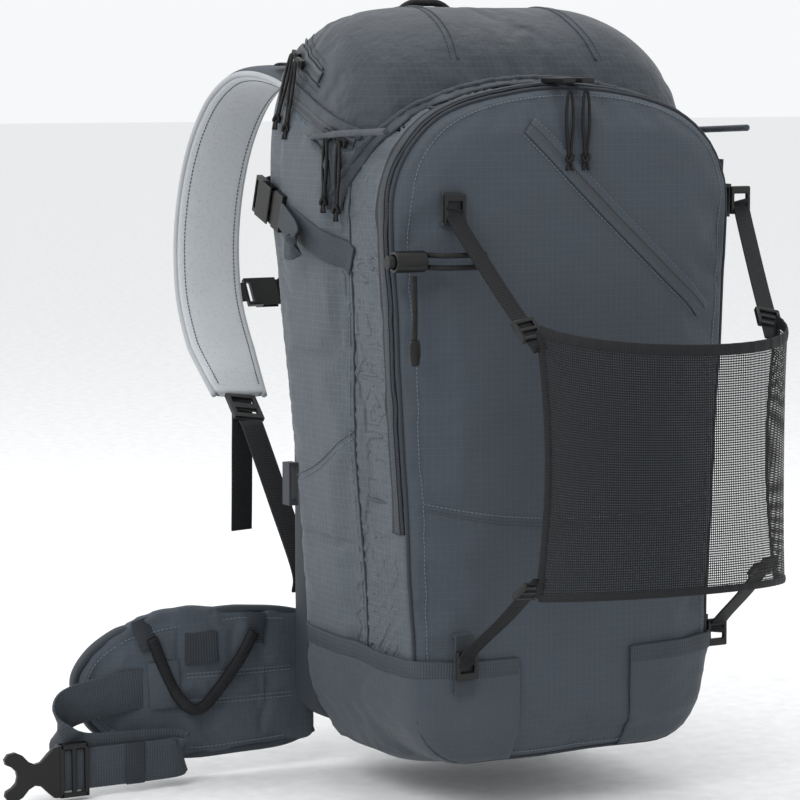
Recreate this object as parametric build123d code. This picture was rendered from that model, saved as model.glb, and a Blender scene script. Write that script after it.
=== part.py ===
"""Ski touring backpack: a zipped main bag with a hinged lid, a front snow-tool compartment, a harness
with a sternum strap, a hip belt with gear loops, an ice-axe holder and a removable helmet net.

The pieces are laid out on a bench frame: X to the bag's right, Y from the front face towards the wearer,
Z up, zero at the middle of the base. ORIGIN then moves them so that the part's origin is the middle of
the lumbar pad's face. Every piece is written to parts/."""

import math
import os

from build123d import *

# ---------------------------------------------------------------- driving sizes, mm
BODY_HEIGHT = 580.0
BODY_WIDTH = 312.0
BODY_FRONT = 106.0  # how far the main bag reaches in front of the bench frame's middle
BODY_BACK = 94.0  # how far it reaches behind it
WALL = 3.0  # quilted fabric, foam and lining together
BASE_BAND = 26.0  # height of the hard-wearing base cup
LID_FRONT_DROP = 98.0  # the lid's split below the bag's top, at the front end of its zip
LID_BACK_DROP = 44.0  # and at the back edge
LID_GAP = 0.4
LID_HINGE_OUT = 4.0  # the fabric hinge, behind the back wall and above the split

COMPARTMENT_DEPTH = 34.0  # how far the front compartment stands out of the main bag
COMPARTMENT_MARGIN = 5.0  # how much narrower it is than the bag, each side
COMPARTMENT_DROP = 56.0  # its top below the bag's top
COMPARTMENT_BOTTOM = 10.0
ARCH_RADIUS = 300.0  # the top of the zip's arch
ARCH_CORNER = 80.0
GUSSET_REACH = 0.4  # how far back the gusset starts, as a share of BODY_FRONT
FACE_TAPER = 16.0  # depth over which the front face rounds in from the zip
FACE_INSET = 24.0
ARCH_LEAN = 3.2  # degrees that the compartment's sides draw in towards the base

ZIP_WIDTH = 7.0
ZIP_THICK = 1.6
TAPE_GAP = 0.02  # under the tape of the lid's zip
ZIP_FOOT = 190.0  # height where the front zip starts on each side
SLIDER_LENGTH = 11.0
SLIDER_HEIGHT = 4.0
SLIDER_PITCH = 17.0  # between the two sliders of a pair
PULL_LENGTH = 60.0
PULL_WIDTH = 7.0
PULL_THICK = 3.0
KNOT_RADIUS = 4.2
RUN_CLEARANCE = 0.4  # between a moving piece and what it runs on or past

BACK_PLATE = 5.0  # fabric-covered board outside the bag's back
BACK_PLATE_WIDTH = 236.0
PAD_THICK = 9.0
BACK_PAD_WIDTH = 82.0
BACK_PAD_HEIGHT = 300.0
BACK_PAD_GAP = 34.0  # ventilation channel between the two pads
LUMBAR_WIDTH = 196.0
LUMBAR_HEIGHT = 92.0
LUMBAR_Z = 84.0

FRAME_ROD = 6.0
FRAME_HALF_WIDTH = 84.0
FRAME_SHEET = 1.5

STRAP_WIDTH = 58.0
STRAP_THICK = 13.0
STRAP_HALF_SPACING = 72.0  # at the top, from the bag's middle to the strap's middle
STRAP_SPLAY = 8.0  # degrees that the straps spread towards their ends
STRAP_DROP = 74.0  # the strap's root below the top of the bag
STRAP_ROOT_GAP = 3.6
STRAP_WEB = 20.0
WEB_THICK = 2.0
SIDE_WEB = 22.0
SIDE_STRAP_DROP = 92.0  # the side strap below the lid's split
BELT_WEB = 32.0

STERNUM_WEB = 18.0
STERNUM_DROP = 232.0  # the chest strap below the top of the bag
STERNUM_INSET = 20.0  # its carriers, from the middle of each shoulder strap

FIN_THICK = 13.0
FIN_HEIGHT = 118.0
FIN_LENGTH = 172.0
FIN_HINGE_X = 126.0
FIN_LOW_Z = -14.0
FIN_BOW = 520.0  # radius of the fin's curve round the hips
FIN_FOLD_RIGHT = 90.0  # degrees that the right fin is stored folded towards the wearer
GEAR_CORD = 7.0
GEAR_NEAR = 32.0  # the gear loop's two ends and its lowest point, out from the fin's hinge
GEAR_FAR = 116.0
GEAR_LOW = 84.0
GEAR_DROP = 62.0

POCKET_HEIGHT = 90.0
HEM_HEIGHT = 13.0

NET_X = 18.0  # the net's middle, towards the bag's right, halfway between its hooks
NET_HALF_WIDTH = 104.0
NET_HEIGHT = 188.0
NET_TOP_DROP = 234.0  # the net's top edge below the top of the bag
NET_STAND_OFF = 96.0  # its side edges in front of the compartment's face
NET_BOW = 82.0  # how much further its middle stands out round the helmet
NET_THICK = 2.0
HOLDER_WEB = 14.0
TAB_WEB = 16.0
TAB_STAND = 9.0

GRAB_CORD = 6.0
GRAB_WIDTH = 62.0
GRAB_HEIGHT = 44.0

AXE_LOOP_DROP = 184.0  # the shaft's bungee below the top of the bag
AXE_SHAFT_GAP = 36.0  # room inside the bungee for the shaft
AXE_SHAFT_DEPTH = 26.0
BUNGEE = 4.0
LOCK_LENGTH = 26.0
LOCK_RADIUS = 8.0
BUTTON_TRAVEL = 3.0

# ---------------------------------------------------------------- the bag's outer shape
# shares of the height, the half width, the front reach and the back reach, then the two corner radii
LEVELS = (
    (0.000, 0.64, 0.74, 0.64, 46, 42),
    (0.052, 0.80, 0.94, 0.84, 58, 56),
    (0.276, 0.885, 1.02, 0.91, 62, 58),
    (0.569, 0.955, 1.00, 0.97, 64, 52),
    (0.776, 1.00, 0.92, 1.01, 64, 46),
    (0.897, 0.95, 0.79, 0.96, 58, 42),
    (0.966, 0.80, 0.49, 0.85, 50, 36),
    (1.000, 0.56, 0.08, 0.62, 34, 26),
)


def level_outline(level, grow):
    """One horizontal section of the bag, grown outwards by grow."""
    share_z, share_x, share_front, share_back, front_radius, back_radius = level
    half = BODY_WIDTH / 2 * share_x + grow
    front = -BODY_FRONT * share_front - grow
    back = BODY_BACK * share_back + grow
    z = BODY_HEIGHT * share_z
    if share_z == 0:
        z -= grow
    if share_z == 1:
        z += grow
    sketch = Pos(0, (front + back) / 2, z) * Rectangle(2 * half, back - front)
    sketch = fillet(sketch.vertices().sort_by(Axis.Y)[:2], front_radius + grow)
    return fillet(sketch.vertices().sort_by(Axis.Y)[-2:], back_radius + grow)


def bag_shape(grow=0.0):
    """The main bag as a closed solid, grown outwards by grow."""
    return loft([level_outline(level, grow) for level in LEVELS])


OUTER = bag_shape()
INNER = bag_shape(-WALL)


def on_skin(thick, window, under=OUTER):
    """A layer of cloth or webbing that lies on the bag inside a window."""
    return (bag_shape(thick) & window) - under


def reach(x, y, z, direction):
    """The point of the bag's surface that lies from (x, y, z) along direction."""
    start = Vector(x, y, z)
    ray = Edge.make_line(start, start + Vector(*direction).normalized() * 500)
    inside = ray & OUTER
    ends = [v.center() for v in inside.vertices()]
    return max(ends, key=lambda p: (p - start).length)


def block(x0, x1, y0, y1, z0, z1):
    """A box between two corners."""
    return Pos((x0 + x1) / 2, (y0 + y1) / 2, (z0 + z1) / 2) * Box(x1 - x0, y1 - y0, z1 - z0)


def mirrored(shape):
    """The same piece on the bag's other side."""
    return mirror(shape, about=Plane.YZ)


def ribbon(points, radii, wide, thick, wide_axis):
    """A flat strap along rounded runs; wide_axis is the direction across its width."""
    path = FilletPolyline(*points, radius=radii)
    profile = Plane(path @ 0, x_dir=Vector(*wide_axis), z_dir=path % 0) * Rectangle(wide, thick)
    return sweep(profile, path)


def cord(points, radii, diameter):
    """A round cord along rounded runs."""
    path = FilletPolyline(*points, radius=radii)
    return sweep(Plane(path @ 0, z_dir=path % 0) * Circle(diameter / 2), path)


# ---------------------------------------------------------------- lid split
LID_FRONT_Z = BODY_HEIGHT - LID_FRONT_DROP
LID_BACK_Z = BODY_HEIGHT - LID_BACK_DROP
SPLIT_SLOPE = (LID_BACK_Z - LID_FRONT_Z) / (BODY_FRONT * 0.7 + BODY_BACK * 0.9)
SPLIT_ANGLE = math.degrees(math.atan(SPLIT_SLOPE))


def split_z(y):
    """Height of the lid's seam at depth y."""
    return LID_BACK_Z + (y - BODY_BACK * 0.9) * SPLIT_SLOPE


def above_split(offset=0.0):
    """Everything above the lid's seam, raised by offset."""
    size = 4 * BODY_WIDTH
    tilt = Pos(0, 0, split_z(0) + offset) * Rot(SPLIT_ANGLE, 0, 0)
    return tilt * Pos(0, 0, size / 2) * Box(size, size, size)


def seam_band(start, height):
    """A slab parallel to the lid's seam, for zips and straps that run along it."""
    size = 4 * BODY_WIDTH
    tilt = Pos(0, 0, split_z(0)) * Rot(SPLIT_ANGLE, 0, 0)
    return tilt * Pos(0, 0, start + height / 2) * Box(size, size, height)


SHELL = OUTER - INNER
ALONG_SEAM = Vector(0, -math.cos(math.radians(SPLIT_ANGLE)), -math.sin(math.radians(SPLIT_ANGLE)))


def main_bag():
    """The tub between the base cup and the lid, with the wall behind the front compartment."""
    base = block(-BODY_WIDTH, BODY_WIDTH, -BODY_WIDTH, BODY_WIDTH, -BODY_HEIGHT, BASE_BAND)
    return SHELL - (above_split() - compartment_zone(LID_GAP)) - base


def base_cup():
    """The coated base, up to the first seam."""
    return SHELL & block(-BODY_WIDTH, BODY_WIDTH, -BODY_WIDTH, BODY_WIDTH, -WALL, BASE_BAND)


def lid():
    """The cap over the main bag, open underneath and cut round the top of the front compartment."""
    return SHELL & (above_split(LID_GAP) - compartment_zone(2 * LID_GAP))


def side_window(front_share, back_share):
    """The space round the bag's left side between two depths."""
    front, back = -BODY_FRONT * front_share, BODY_BACK * back_share
    return block(-BODY_WIDTH, -BODY_WIDTH * 0.3, front, back, 0, BODY_HEIGHT)


def lid_zip():
    """Coil and tape of the main zip, on the tub under the seam, along both sides."""
    window = seam_band(-ZIP_WIDTH - 1, ZIP_WIDTH) & side_window(0.66, 0.62)
    strip = on_skin(ZIP_THICK, window, bag_shape(TAPE_GAP))
    return Compound(strip.solids() + mirrored(strip).solids())


def lid_pocket_zip():
    """Zip of the small pocket in the lid's left side."""
    return on_skin(ZIP_THICK, seam_band(22, ZIP_WIDTH) & side_window(0.1, 0.62))


# ---------------------------------------------------------------- front compartment
ARCH_TOP_Z = BODY_HEIGHT - COMPARTMENT_DROP
ARCH_HALF = BODY_WIDTH / 2 - COMPARTMENT_MARGIN
ARCH_CENTRE_Z = ARCH_TOP_Z - ARCH_RADIUS
ARCH_PHI = math.asin((ARCH_HALF - ARCH_CORNER) / (ARCH_RADIUS - ARCH_CORNER))
CORNER_X = ARCH_HALF - ARCH_CORNER
CORNER_Z = ARCH_CENTRE_Z + (ARCH_RADIUS - ARCH_CORNER) * math.cos(ARCH_PHI)
ZIP_Y = -BODY_FRONT - COMPARTMENT_DEPTH + FACE_TAPER  # the plane that the front zip lies in
FACE_Y = ZIP_Y - FACE_TAPER


def arch_side_x(z, grow=0.0):
    """How far out the compartment's side is at height z, below its corner, grown outwards by grow."""
    lean = math.radians(ARCH_LEAN)
    corner = ARCH_CORNER + grow
    end_x, end_z = CORNER_X + corner * math.cos(lean), CORNER_Z - corner * math.sin(lean)
    return end_x - (end_z - z) * math.tan(lean)


def arch_lines(grow, foot):
    """The arch of the front zip, grown outwards, from its left foot over the top to its right foot."""
    corner, top = ARCH_CORNER + grow, ARCH_RADIUS + grow
    lean = math.degrees(ARCH_PHI)
    turn = 90 - lean + ARCH_LEAN
    foot_x = arch_side_x(foot, grow)
    left_corner = CenterArc((-CORNER_X, CORNER_Z), corner, 180 + ARCH_LEAN, -turn)
    crown = CenterArc((0, ARCH_CENTRE_Z), top, 90 + lean, -2 * lean)
    right_corner = CenterArc((CORNER_X, CORNER_Z), corner, 90 - lean, -turn)
    left = Line((-foot_x, foot), left_corner @ 0)
    right = Line(right_corner @ 1, (foot_x, foot))
    return [left, left_corner, crown, right_corner, right]


def front_plane(y):
    """The upright plane at depth y: its x is the bag's X and its y is the bag's Z."""
    return Plane(origin=(0, y, 0), x_dir=(1, 0, 0), z_dir=(0, -1, 0))


def arch_face(y, inset, low_inset=None):
    """The compartment's outline at depth y, drawn in from the zip's arch by inset."""
    foot = COMPARTMENT_BOTTOM + (inset if low_inset is None else low_inset)
    half = arch_side_x(foot, -inset)
    lines = arch_lines(-inset, foot) + [Line((half, foot), (-half, foot))]
    sketch = make_face(lines)
    sketch = fillet(sketch.vertices().sort_by(Axis.Y)[:2], ARCH_CORNER * 0.6 - inset)
    return front_plane(y) * sketch


def front_block(inset, rear_y, front_y):
    """The compartment's straight-sided part."""
    return extrude(arch_face(rear_y, inset), amount=rear_y - front_y)


def compartment_zone(grow):
    """The space that the front compartment takes, grown outwards, through the bag's front wall."""
    return front_block(-grow, -BODY_FRONT * GUSSET_REACH, FACE_Y - FACE_TAPER)


def front_dome(inset, y0, depth):
    """The compartment's front face: it draws in from the zip in two slopes."""
    sections = [
        arch_face(y0, inset),
        arch_face(y0 - depth * 0.55, inset + FACE_INSET * 0.25),
        arch_face(y0 - depth, inset + FACE_INSET),
    ]
    return loft(sections, ruled=True)


def front_gusset():
    """The side wall of the front compartment, from the bag to the zip."""
    rear = -BODY_FRONT * GUSSET_REACH
    ring = front_block(0, rear, ZIP_Y) - front_block(WALL, rear + 1, ZIP_Y - 1)
    return ring - OUTER


def front_panel():
    """The compartment's outer face, inside the zip."""
    shell = front_dome(0, ZIP_Y, FACE_TAPER) - front_dome(WALL, ZIP_Y, FACE_TAPER - WALL)
    return shell - OUTER


def front_zip():
    """Coil and tape of the front zip, round the arch."""
    plane = front_plane(ZIP_Y + 1 + ZIP_WIDTH / 2)
    path = Wire([plane * line for line in arch_lines(ZIP_THICK / 2, ZIP_FOOT)])
    profile = Plane(path @ 0, x_dir=(0, 1, 0), z_dir=path % 0) * Rectangle(ZIP_WIDTH, ZIP_THICK)
    return sweep(profile, path)


def pull_shape():
    """A doubled cord puller with its knot, hanging down from the origin, its width along X."""
    cords = Pos(0, 0, -PULL_LENGTH * 0.42) * Box(PULL_WIDTH, PULL_THICK, PULL_LENGTH * 0.84)
    knot = Pos(0, 0, -PULL_LENGTH * 0.86) * Sphere(KNOT_RADIUS)
    tail = Pos(0, 0, -PULL_LENGTH * 0.95) * Box(PULL_WIDTH * 0.7, PULL_THICK * 0.8, PULL_LENGTH * 0.1)
    return cords + knot + tail


FRONT_SLIDER_ANGLE = 1.6  # degrees each side of the middle, where the two front sliders rest
FRONT_PULL_Y = FACE_Y - KNOT_RADIUS - 3.4
FRONT_PULL_R = ARCH_RADIUS - 4.0  # the pull's pivot, from the arch's centre


def round_arch(angle):
    """A turn about the arch's centre, angle degrees towards the bag's right."""
    return Pos(0, 0, ARCH_CENTRE_Z) * Rot(0, angle, 0) * Pos(0, 0, -ARCH_CENTRE_Z)


def front_slider(side):
    """A slider of the front zip; its bridge reaches over the face's edge to its pull."""
    seat = ARCH_CENTRE_Z + ARCH_RADIUS + ZIP_THICK + RUN_CLEARANCE
    lip = FRONT_PULL_Y - PULL_THICK / 2
    half = SLIDER_LENGTH / 2
    body = block(-half, half, lip, ZIP_Y + ZIP_WIDTH + 1, seat, seat + SLIDER_HEIGHT)
    return round_arch(side * FRONT_SLIDER_ANGLE) * body


def front_pull(side):
    """The pull of a front slider, hanging in front of the face."""
    pull = Pos(0, FRONT_PULL_Y, ARCH_CENTRE_Z + FRONT_PULL_R) * pull_shape()
    return round_arch(side * FRONT_SLIDER_ANGLE) * pull


# the pocket zip that crosses the face
POCKET_ZIP_WIDTH = 5.0
DIAGONAL_TOP = Vector(-38, 0, ARCH_TOP_Z - 32)
DIAGONAL_END = Vector(ARCH_HALF - 34, 0, ARCH_TOP_Z - 172)
DIAGONAL_DIR = (DIAGONAL_END - DIAGONAL_TOP).normalized()
DIAGONAL_ANGLE = math.degrees(math.atan2(DIAGONAL_DIR.Z, DIAGONAL_DIR.X))
DIAGONAL_LENGTH = (DIAGONAL_END - DIAGONAL_TOP).length
POCKET_SLIDER_AT = 112.0  # along the zip from its top end
POCKET_SLIDER_TRAVEL = 60.0


def on_diagonal(along, y):
    """A frame on the pocket zip: X runs down the zip, Y into the bag."""
    point = DIAGONAL_TOP + DIAGONAL_DIR * along
    return Pos(point.X, y, point.Z) * Rot(0, -DIAGONAL_ANGLE, 0)


def pocket_zip():
    """Coil of the pocket zip, lying on the face."""
    middle = on_diagonal(DIAGONAL_LENGTH / 2, FACE_Y - ZIP_THICK / 2)
    return middle * Box(DIAGONAL_LENGTH, ZIP_THICK, POCKET_ZIP_WIDTH)


def pocket_slider():
    """Slider of the pocket zip with its flat tab."""
    y = FACE_Y - ZIP_THICK - RUN_CLEARANCE - SLIDER_HEIGHT / 2
    body = on_diagonal(POCKET_SLIDER_AT, y) * Box(SLIDER_LENGTH, SLIDER_HEIGHT, ZIP_WIDTH)
    tab = on_diagonal(POCKET_SLIDER_AT + SLIDER_LENGTH, y) * Box(SLIDER_LENGTH * 2, 1.6, 3.4)
    return body + tab


# ---------------------------------------------------------------- sliders of the lid's zips, at the left
MAIN_ZIP_FRONT_Y = -62.0  # depths of the front slider of each pair
LID_ZIP_FRONT_Y = 24.0
PULL_OUT_X = -BODY_WIDTH / 2 - KNOT_RADIUS - 1.0  # a pull's lower end clears the bag's widest place
SEAT_LIFT = ZIP_THICK + RUN_CLEARANCE + 0.6


def seam_point(y, offset):
    """A point of the left side on the lid's seam, offset above it."""
    z = split_z(y) + offset
    return reach(0, y, z, (-1, 0, 0))


def side_seat_x(y, offset, travel):
    """How far out a slider must sit to clear the zip over its travel along the seam."""
    steps = [seam_point(y + travel * step / 4 + edge, offset).X for step in range(5) for edge in (-6, 6)]
    return min(steps) - SEAT_LIFT


def side_pair(front_y, offset, front_travel, rear_travel):
    """Two sliders and their pulls on a side zip: a list of (slider, pull, pivot, tilt)."""
    pair = []
    for y, travel in ((front_y, front_travel), (front_y + SLIDER_PITCH, rear_travel)):
        seat = side_seat_x(y, offset, travel)
        z = split_z(y) + offset
        body = Pos(seat - SLIDER_HEIGHT / 2, y, z) * Rot(SPLIT_ANGLE, 0, 0)
        body = body * Box(SLIDER_HEIGHT, SLIDER_LENGTH, ZIP_WIDTH)
        pivot = Vector(seat - SLIDER_HEIGHT - PULL_THICK / 2 - RUN_CLEARANCE - 0.3, y, z)
        tilt = math.degrees(math.asin(max(0.0, pivot.X - PULL_OUT_X) / (PULL_LENGTH * 0.86)))
        pull = Pos(pivot.X, pivot.Y, pivot.Z) * Rot(0, tilt, 0) * Rot(0, 0, 90) * pull_shape()
        pair.append((body, pull, pivot, tilt))
    return pair


MAIN_ZIP_TRAVEL = (-8.0, 60.0)
LID_ZIP_TRAVEL = (-14.0, 10.0)

# ---------------------------------------------------------------- back and frame
BACK_FACE_Y = BODY_BACK * 1.02 + BACK_PLATE
WEARER_Y = BACK_FACE_Y + PAD_THICK  # the plane that the wearer's back touches
STRAP_ROOT_Z = BODY_HEIGHT - STRAP_DROP


def rounded_plate(width, height, z, y0, y1, radius):
    """An upright plate with rounded corners, centred at height z."""
    sketch = front_plane(y1) * (Pos(0, z) * RectangleRounded(width, height, radius))
    return extrude(sketch, amount=y1 - y0)


def back_plate():
    """The fabric-covered board outside the bag's back, shaped to it."""
    low, high = 10.0, STRAP_ROOT_Z + 14
    plate = rounded_plate(BACK_PLATE_WIDTH, high - low, (low + high) / 2, BODY_BACK * 0.6, BACK_FACE_Y, 26)
    return plate - OUTER


def back_pads():
    """The two long foam pads either side of the ventilation channel."""
    offset = (BACK_PAD_WIDTH + BACK_PAD_GAP) / 2
    z = STRAP_ROOT_Z - 28 - BACK_PAD_HEIGHT / 2
    pad = rounded_plate(BACK_PAD_WIDTH, BACK_PAD_HEIGHT, z, BACK_FACE_Y, WEARER_Y, 18)
    return Compound([Pos(-offset, 0, 0) * pad, Pos(offset, 0, 0) * pad])


def lumbar_pad():
    """The pad over the small of the back."""
    return rounded_plate(LUMBAR_WIDTH, LUMBAR_HEIGHT, LUMBAR_Z, BACK_FACE_Y, WEARER_Y, 30)


FRAME_Y = BODY_BACK * 0.86 - WALL - FRAME_ROD / 2 - 2
FRAME_TOP = LID_FRONT_Z - 12
FRAME_LOW = BASE_BAND + 28
FOOT_HEIGHT = 12.0


def frame_rod():
    """The bent rod that carries the load to the hip belt."""
    foot = FRAME_HALF_WIDTH * 0.8
    points = [(-foot, FRAME_Y, FRAME_LOW), (-FRAME_HALF_WIDTH, FRAME_Y, FRAME_TOP)]
    points += [(FRAME_HALF_WIDTH, FRAME_Y, FRAME_TOP), (foot, FRAME_Y, FRAME_LOW)]
    return cord(points, 40, FRAME_ROD)


def frame_sheet():
    """The stiff plastic sheet inside the back, in front of the rod."""
    y = FRAME_Y - FRAME_ROD / 2 - 0.4
    height = FRAME_TOP - FRAME_LOW - 30
    return rounded_plate(2 * FRAME_HALF_WIDTH - 12, height, FRAME_LOW + height / 2, y - FRAME_SHEET, y, 20)


def rod_feet():
    """Moulded feet under the rod's two ends."""
    foot = Pos(0, FRAME_Y, FRAME_LOW - FOOT_HEIGHT / 2 - 0.8) * Cylinder(FRAME_ROD * 0.9, FOOT_HEIGHT)
    x = FRAME_HALF_WIDTH * 0.8
    return Compound([Pos(-x, 0, 0) * foot, Pos(x, 0, 0) * foot])


# ---------------------------------------------------------------- shoulder harness
# the strap's middle line from its root, as steps back from the board and up from the root
STRAP_RUNS = ((0, 0), (66, 22), (150, 26), (222, -30), (226, -128), (186, -196), (118, -246))
STERNUM_RUN = 4  # the run that the chest strap's carriers slide on
HARNESS_PIVOT = Vector(0, BACK_FACE_Y + STRAP_ROOT_GAP, STRAP_ROOT_Z)


def strap_frame(side):
    """A frame at a strap's root, splayed so that the strap spreads sideways on its way down."""
    return Pos(side * STRAP_HALF_SPACING, HARNESS_PIVOT.Y, HARNESS_PIVOT.Z) * Rot(0, -side * STRAP_SPLAY, 0)


def strap_path():
    """The strap's middle line, in its root frame."""
    points = [(0, back, up) for back, up in STRAP_RUNS]
    return FilletPolyline(*points, radius=38)


def shoulder_strap(side):
    """One padded shoulder strap."""
    path = strap_path()
    section = RectangleRounded(STRAP_WIDTH, STRAP_THICK, 5)
    profile = Plane(path @ 0, x_dir=(1, 0, 0), z_dir=path % 0) * section
    return strap_frame(side) * sweep(profile, path)


STRAP_END_DIR = (Vector(0, *STRAP_RUNS[-1]) - Vector(0, *STRAP_RUNS[-2])).normalized()
ADJUSTER_LENGTH = 30.0


def past_strap_end(side, distance):
    """A frame past a strap's lower end: X across the strap, Z out of its outer face."""
    end = Vector(0, *STRAP_RUNS[-1]) + STRAP_END_DIR * distance
    plane = Plane(end, x_dir=(1, 0, 0), z_dir=Vector(1, 0, 0).cross(STRAP_END_DIR))
    return strap_frame(side) * plane.location


def adjuster(side):
    """The ladder lock sewn under a strap's end."""
    wide = STRAP_WEB + 8
    plate = Box(wide, ADJUSTER_LENGTH, 4)
    plate -= Pos(0, -7, 0) * Box(STRAP_WEB, 6, 6)
    plate -= Pos(0, 6, 0) * Box(STRAP_WEB, 5, 6)
    return past_strap_end(side, ADJUSTER_LENGTH / 2 + 0.4) * plate


def straight_web(start, end, wide, across, thick=WEB_THICK):
    """A flat strap from start to end; across is roughly the direction of its width."""
    start, end, across = Vector(*start), Vector(*end), Vector(*across)
    run = (end - start).normalized()
    face = run.cross(across).normalized()
    middle = Plane((start + end) / 2, x_dir=run, z_dir=face).location
    return middle * Box((end - start).length, wide, thick)


def strap_webbing(side):
    """The webbing from the ladder lock down to the bag's lower corner, with its sewn end."""
    start = past_strap_end(side, ADJUSTER_LENGTH + 3).position
    foot = Vector(side * (FIN_HINGE_X - 18), BACK_FACE_Y + 2.2, FIN_LOW_Z + FIN_HEIGHT + 26)
    web = straight_web(start, foot, STRAP_WEB, (1, 0, 0))
    end = Pos(foot.X, foot.Y, foot.Z - 8) * Box(STRAP_WEB, 3, 20)
    return web + end


def load_lifter(side):
    """The hook buckle where the load lifter meets the top of the back."""
    seat = reach(side * BODY_WIDTH * 0.30, 0, LID_BACK_Z - 8, (0, 1, 0))
    plate = Box(26, 6, 9) + Pos(-side * 2, 8, 0) * Box(14, 12, 6)
    return Pos(seat.X, seat.Y + 4.2, seat.Z) * plate


# ---------------------------------------------------------------- side-release buckles
# drawn with the prongs along +X and the webbing's width along Y; the webbing lies at height PLUG_WEB_Z
PLUG_WEB_Z = -1.4
PLUG_HALF = 7.0
PRONG_LENGTH = 15.0
SOCKET_START = PLUG_HALF + 4.0
SOCKET_LENGTH = 22.0
SOCKET_BAR = 9.0
BUCKLE_RIM = 4.0
BUCKLE_RELEASE = 20.0


def buckle_plug(web):
    """A side-release plug: a frame that the webbing runs through, and three prongs."""
    wide = web + 2 * BUCKLE_RIM
    slot = Pos(0, 0, PLUG_WEB_Z) * Box(2 * PLUG_HALF + 2, web + 1.2, WEB_THICK + 1)
    frame = Box(2 * PLUG_HALF, wide, 7) - slot
    neck = Pos(PLUG_HALF + 1.5, 0, 2.05) * Box(4, wide * 0.9, 2.9)
    prong = Pos(PLUG_HALF + PRONG_LENGTH / 2 + 2, 0, 2.05) * Box(PRONG_LENGTH, wide * 0.16, 2.9)
    arms = [Pos(0, sign * wide * 0.36, 0) * prong for sign in (-1, 1)]
    return frame + neck + prong + arms[0] + arms[1]


def buckle_socket(web):
    """The socket that takes the plug: two plates, an end wall and its own webbing bar."""
    wide = web + 2 * BUCKLE_RIM
    middle = SOCKET_START + SOCKET_LENGTH / 2
    end = SOCKET_START + SOCKET_LENGTH
    top = Pos(middle, 0, 4.8) * Box(SOCKET_LENGTH, wide, 1.6)
    floor = Pos(middle, 0, -0.7) * Box(SOCKET_LENGTH, wide, 1.6)
    wall = Pos(end - 3, 0, 2.05) * Box(6, wide, 7.1)
    bar = Box(SOCKET_BAR + 1, wide, 5) - Pos(1, 0, 0) * Box(4, web + 1, 7)
    return top + floor + wall + Pos(end + SOCKET_BAR / 2 - 0.5, 0, 1) * bar


SOCKET_END = SOCKET_START + SOCKET_LENGTH + SOCKET_BAR


# ---------------------------------------------------------------- side compression straps
SIDE_BUCKLE_Y = 32.0
SIDE_WEB_FRONT_Y = -76.0


def side_buckle_frame(side):
    """Where a side buckle sits: on the flat of the side, prongs towards the back."""
    z = split_z(SIDE_BUCKLE_Y) - SIDE_STRAP_DROP
    skin_x = BODY_WIDTH / 2
    x = side * (skin_x + 3.5 + 1.4)
    return Plane((x, SIDE_BUCKLE_Y, z), x_dir=ALONG_SEAM * -1, z_dir=(side, 0, 0)).location


def side_plug(side):
    """The plug of a side strap."""
    return side_buckle_frame(side) * buckle_plug(SIDE_WEB)


def side_socket(side):
    """The socket of a side strap."""
    return side_buckle_frame(side) * buckle_socket(SIDE_WEB)


def side_webbing(side):
    """The strap from the front compartment's gusset into the plug."""
    length = (SIDE_BUCKLE_Y - SIDE_WEB_FRONT_Y) / math.cos(math.radians(SPLIT_ANGLE)) + PLUG_HALF
    web = Pos(PLUG_HALF - length / 2, 0, PLUG_WEB_Z) * Box(length, SIDE_WEB, WEB_THICK)
    return side_buckle_frame(side) * web


def side_anchor(side):
    """The short strap from the socket's bar to the back seam."""
    web = Pos(SOCKET_END + 11.4, 0, 0) * Box(22, SIDE_WEB, WEB_THICK)
    return side_buckle_frame(side) * web


# ---------------------------------------------------------------- hip belt, drawn at the left hinge
FIN_HINGE_Y = BACK_FACE_Y + FIN_THICK / 2 - 4
FIN_FRAMES = {
    -1: Pos(-FIN_HINGE_X, FIN_HINGE_Y, 0),
    1: Pos(FIN_HINGE_X, FIN_HINGE_Y, 0) * Rot(0, 0, FIN_FOLD_RIGHT),
}


def on_hip(side, shape):
    """A belt piece drawn at the left hinge, put on its side of the bag."""
    return FIN_FRAMES[side] * (shape if side < 0 else mirrored(shape))


def fin_outline():
    """The fin's side view: x runs out from the hinge, y is up."""
    low, high = FIN_LOW_Z, FIN_LOW_Z + FIN_HEIGHT
    nose = low + FIN_HEIGHT * 0.56
    knee = (FIN_LENGTH * 0.5, low)
    brow = (FIN_LENGTH * 0.3, high)
    tip = (FIN_LENGTH, nose)
    lines = [
        Line((2, low + 3), knee),
        ThreePointArc(knee, (FIN_LENGTH * 0.9, low + FIN_HEIGHT * 0.2), tip),
        ThreePointArc(tip, (FIN_LENGTH * 0.82, high - FIN_HEIGHT * 0.12), brow),
        Line(brow, (2, high - 4)),
        Line((2, high - 4), (2, low + 3)),
    ]
    return make_face(lines)


def fin():
    """The padded fin: foam between two fabrics, curved round the hips."""
    centre = Pos(0, FIN_BOW, 0)
    outer = centre * Cylinder(FIN_BOW + FIN_THICK / 2, 600)
    inner = centre * Cylinder(FIN_BOW - FIN_THICK / 2, 620)
    face = Plane(origin=(0, 200, 0), x_dir=(-1, 0, 0), z_dir=(0, 1, 0)) * fin_outline()
    return (outer - inner) & extrude(face, amount=-400)


def fin_face_y(out):
    """Depth of the fin's outer face, out from the hinge."""
    return FIN_BOW - math.sqrt((FIN_BOW + FIN_THICK / 2) ** 2 - out**2)


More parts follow.
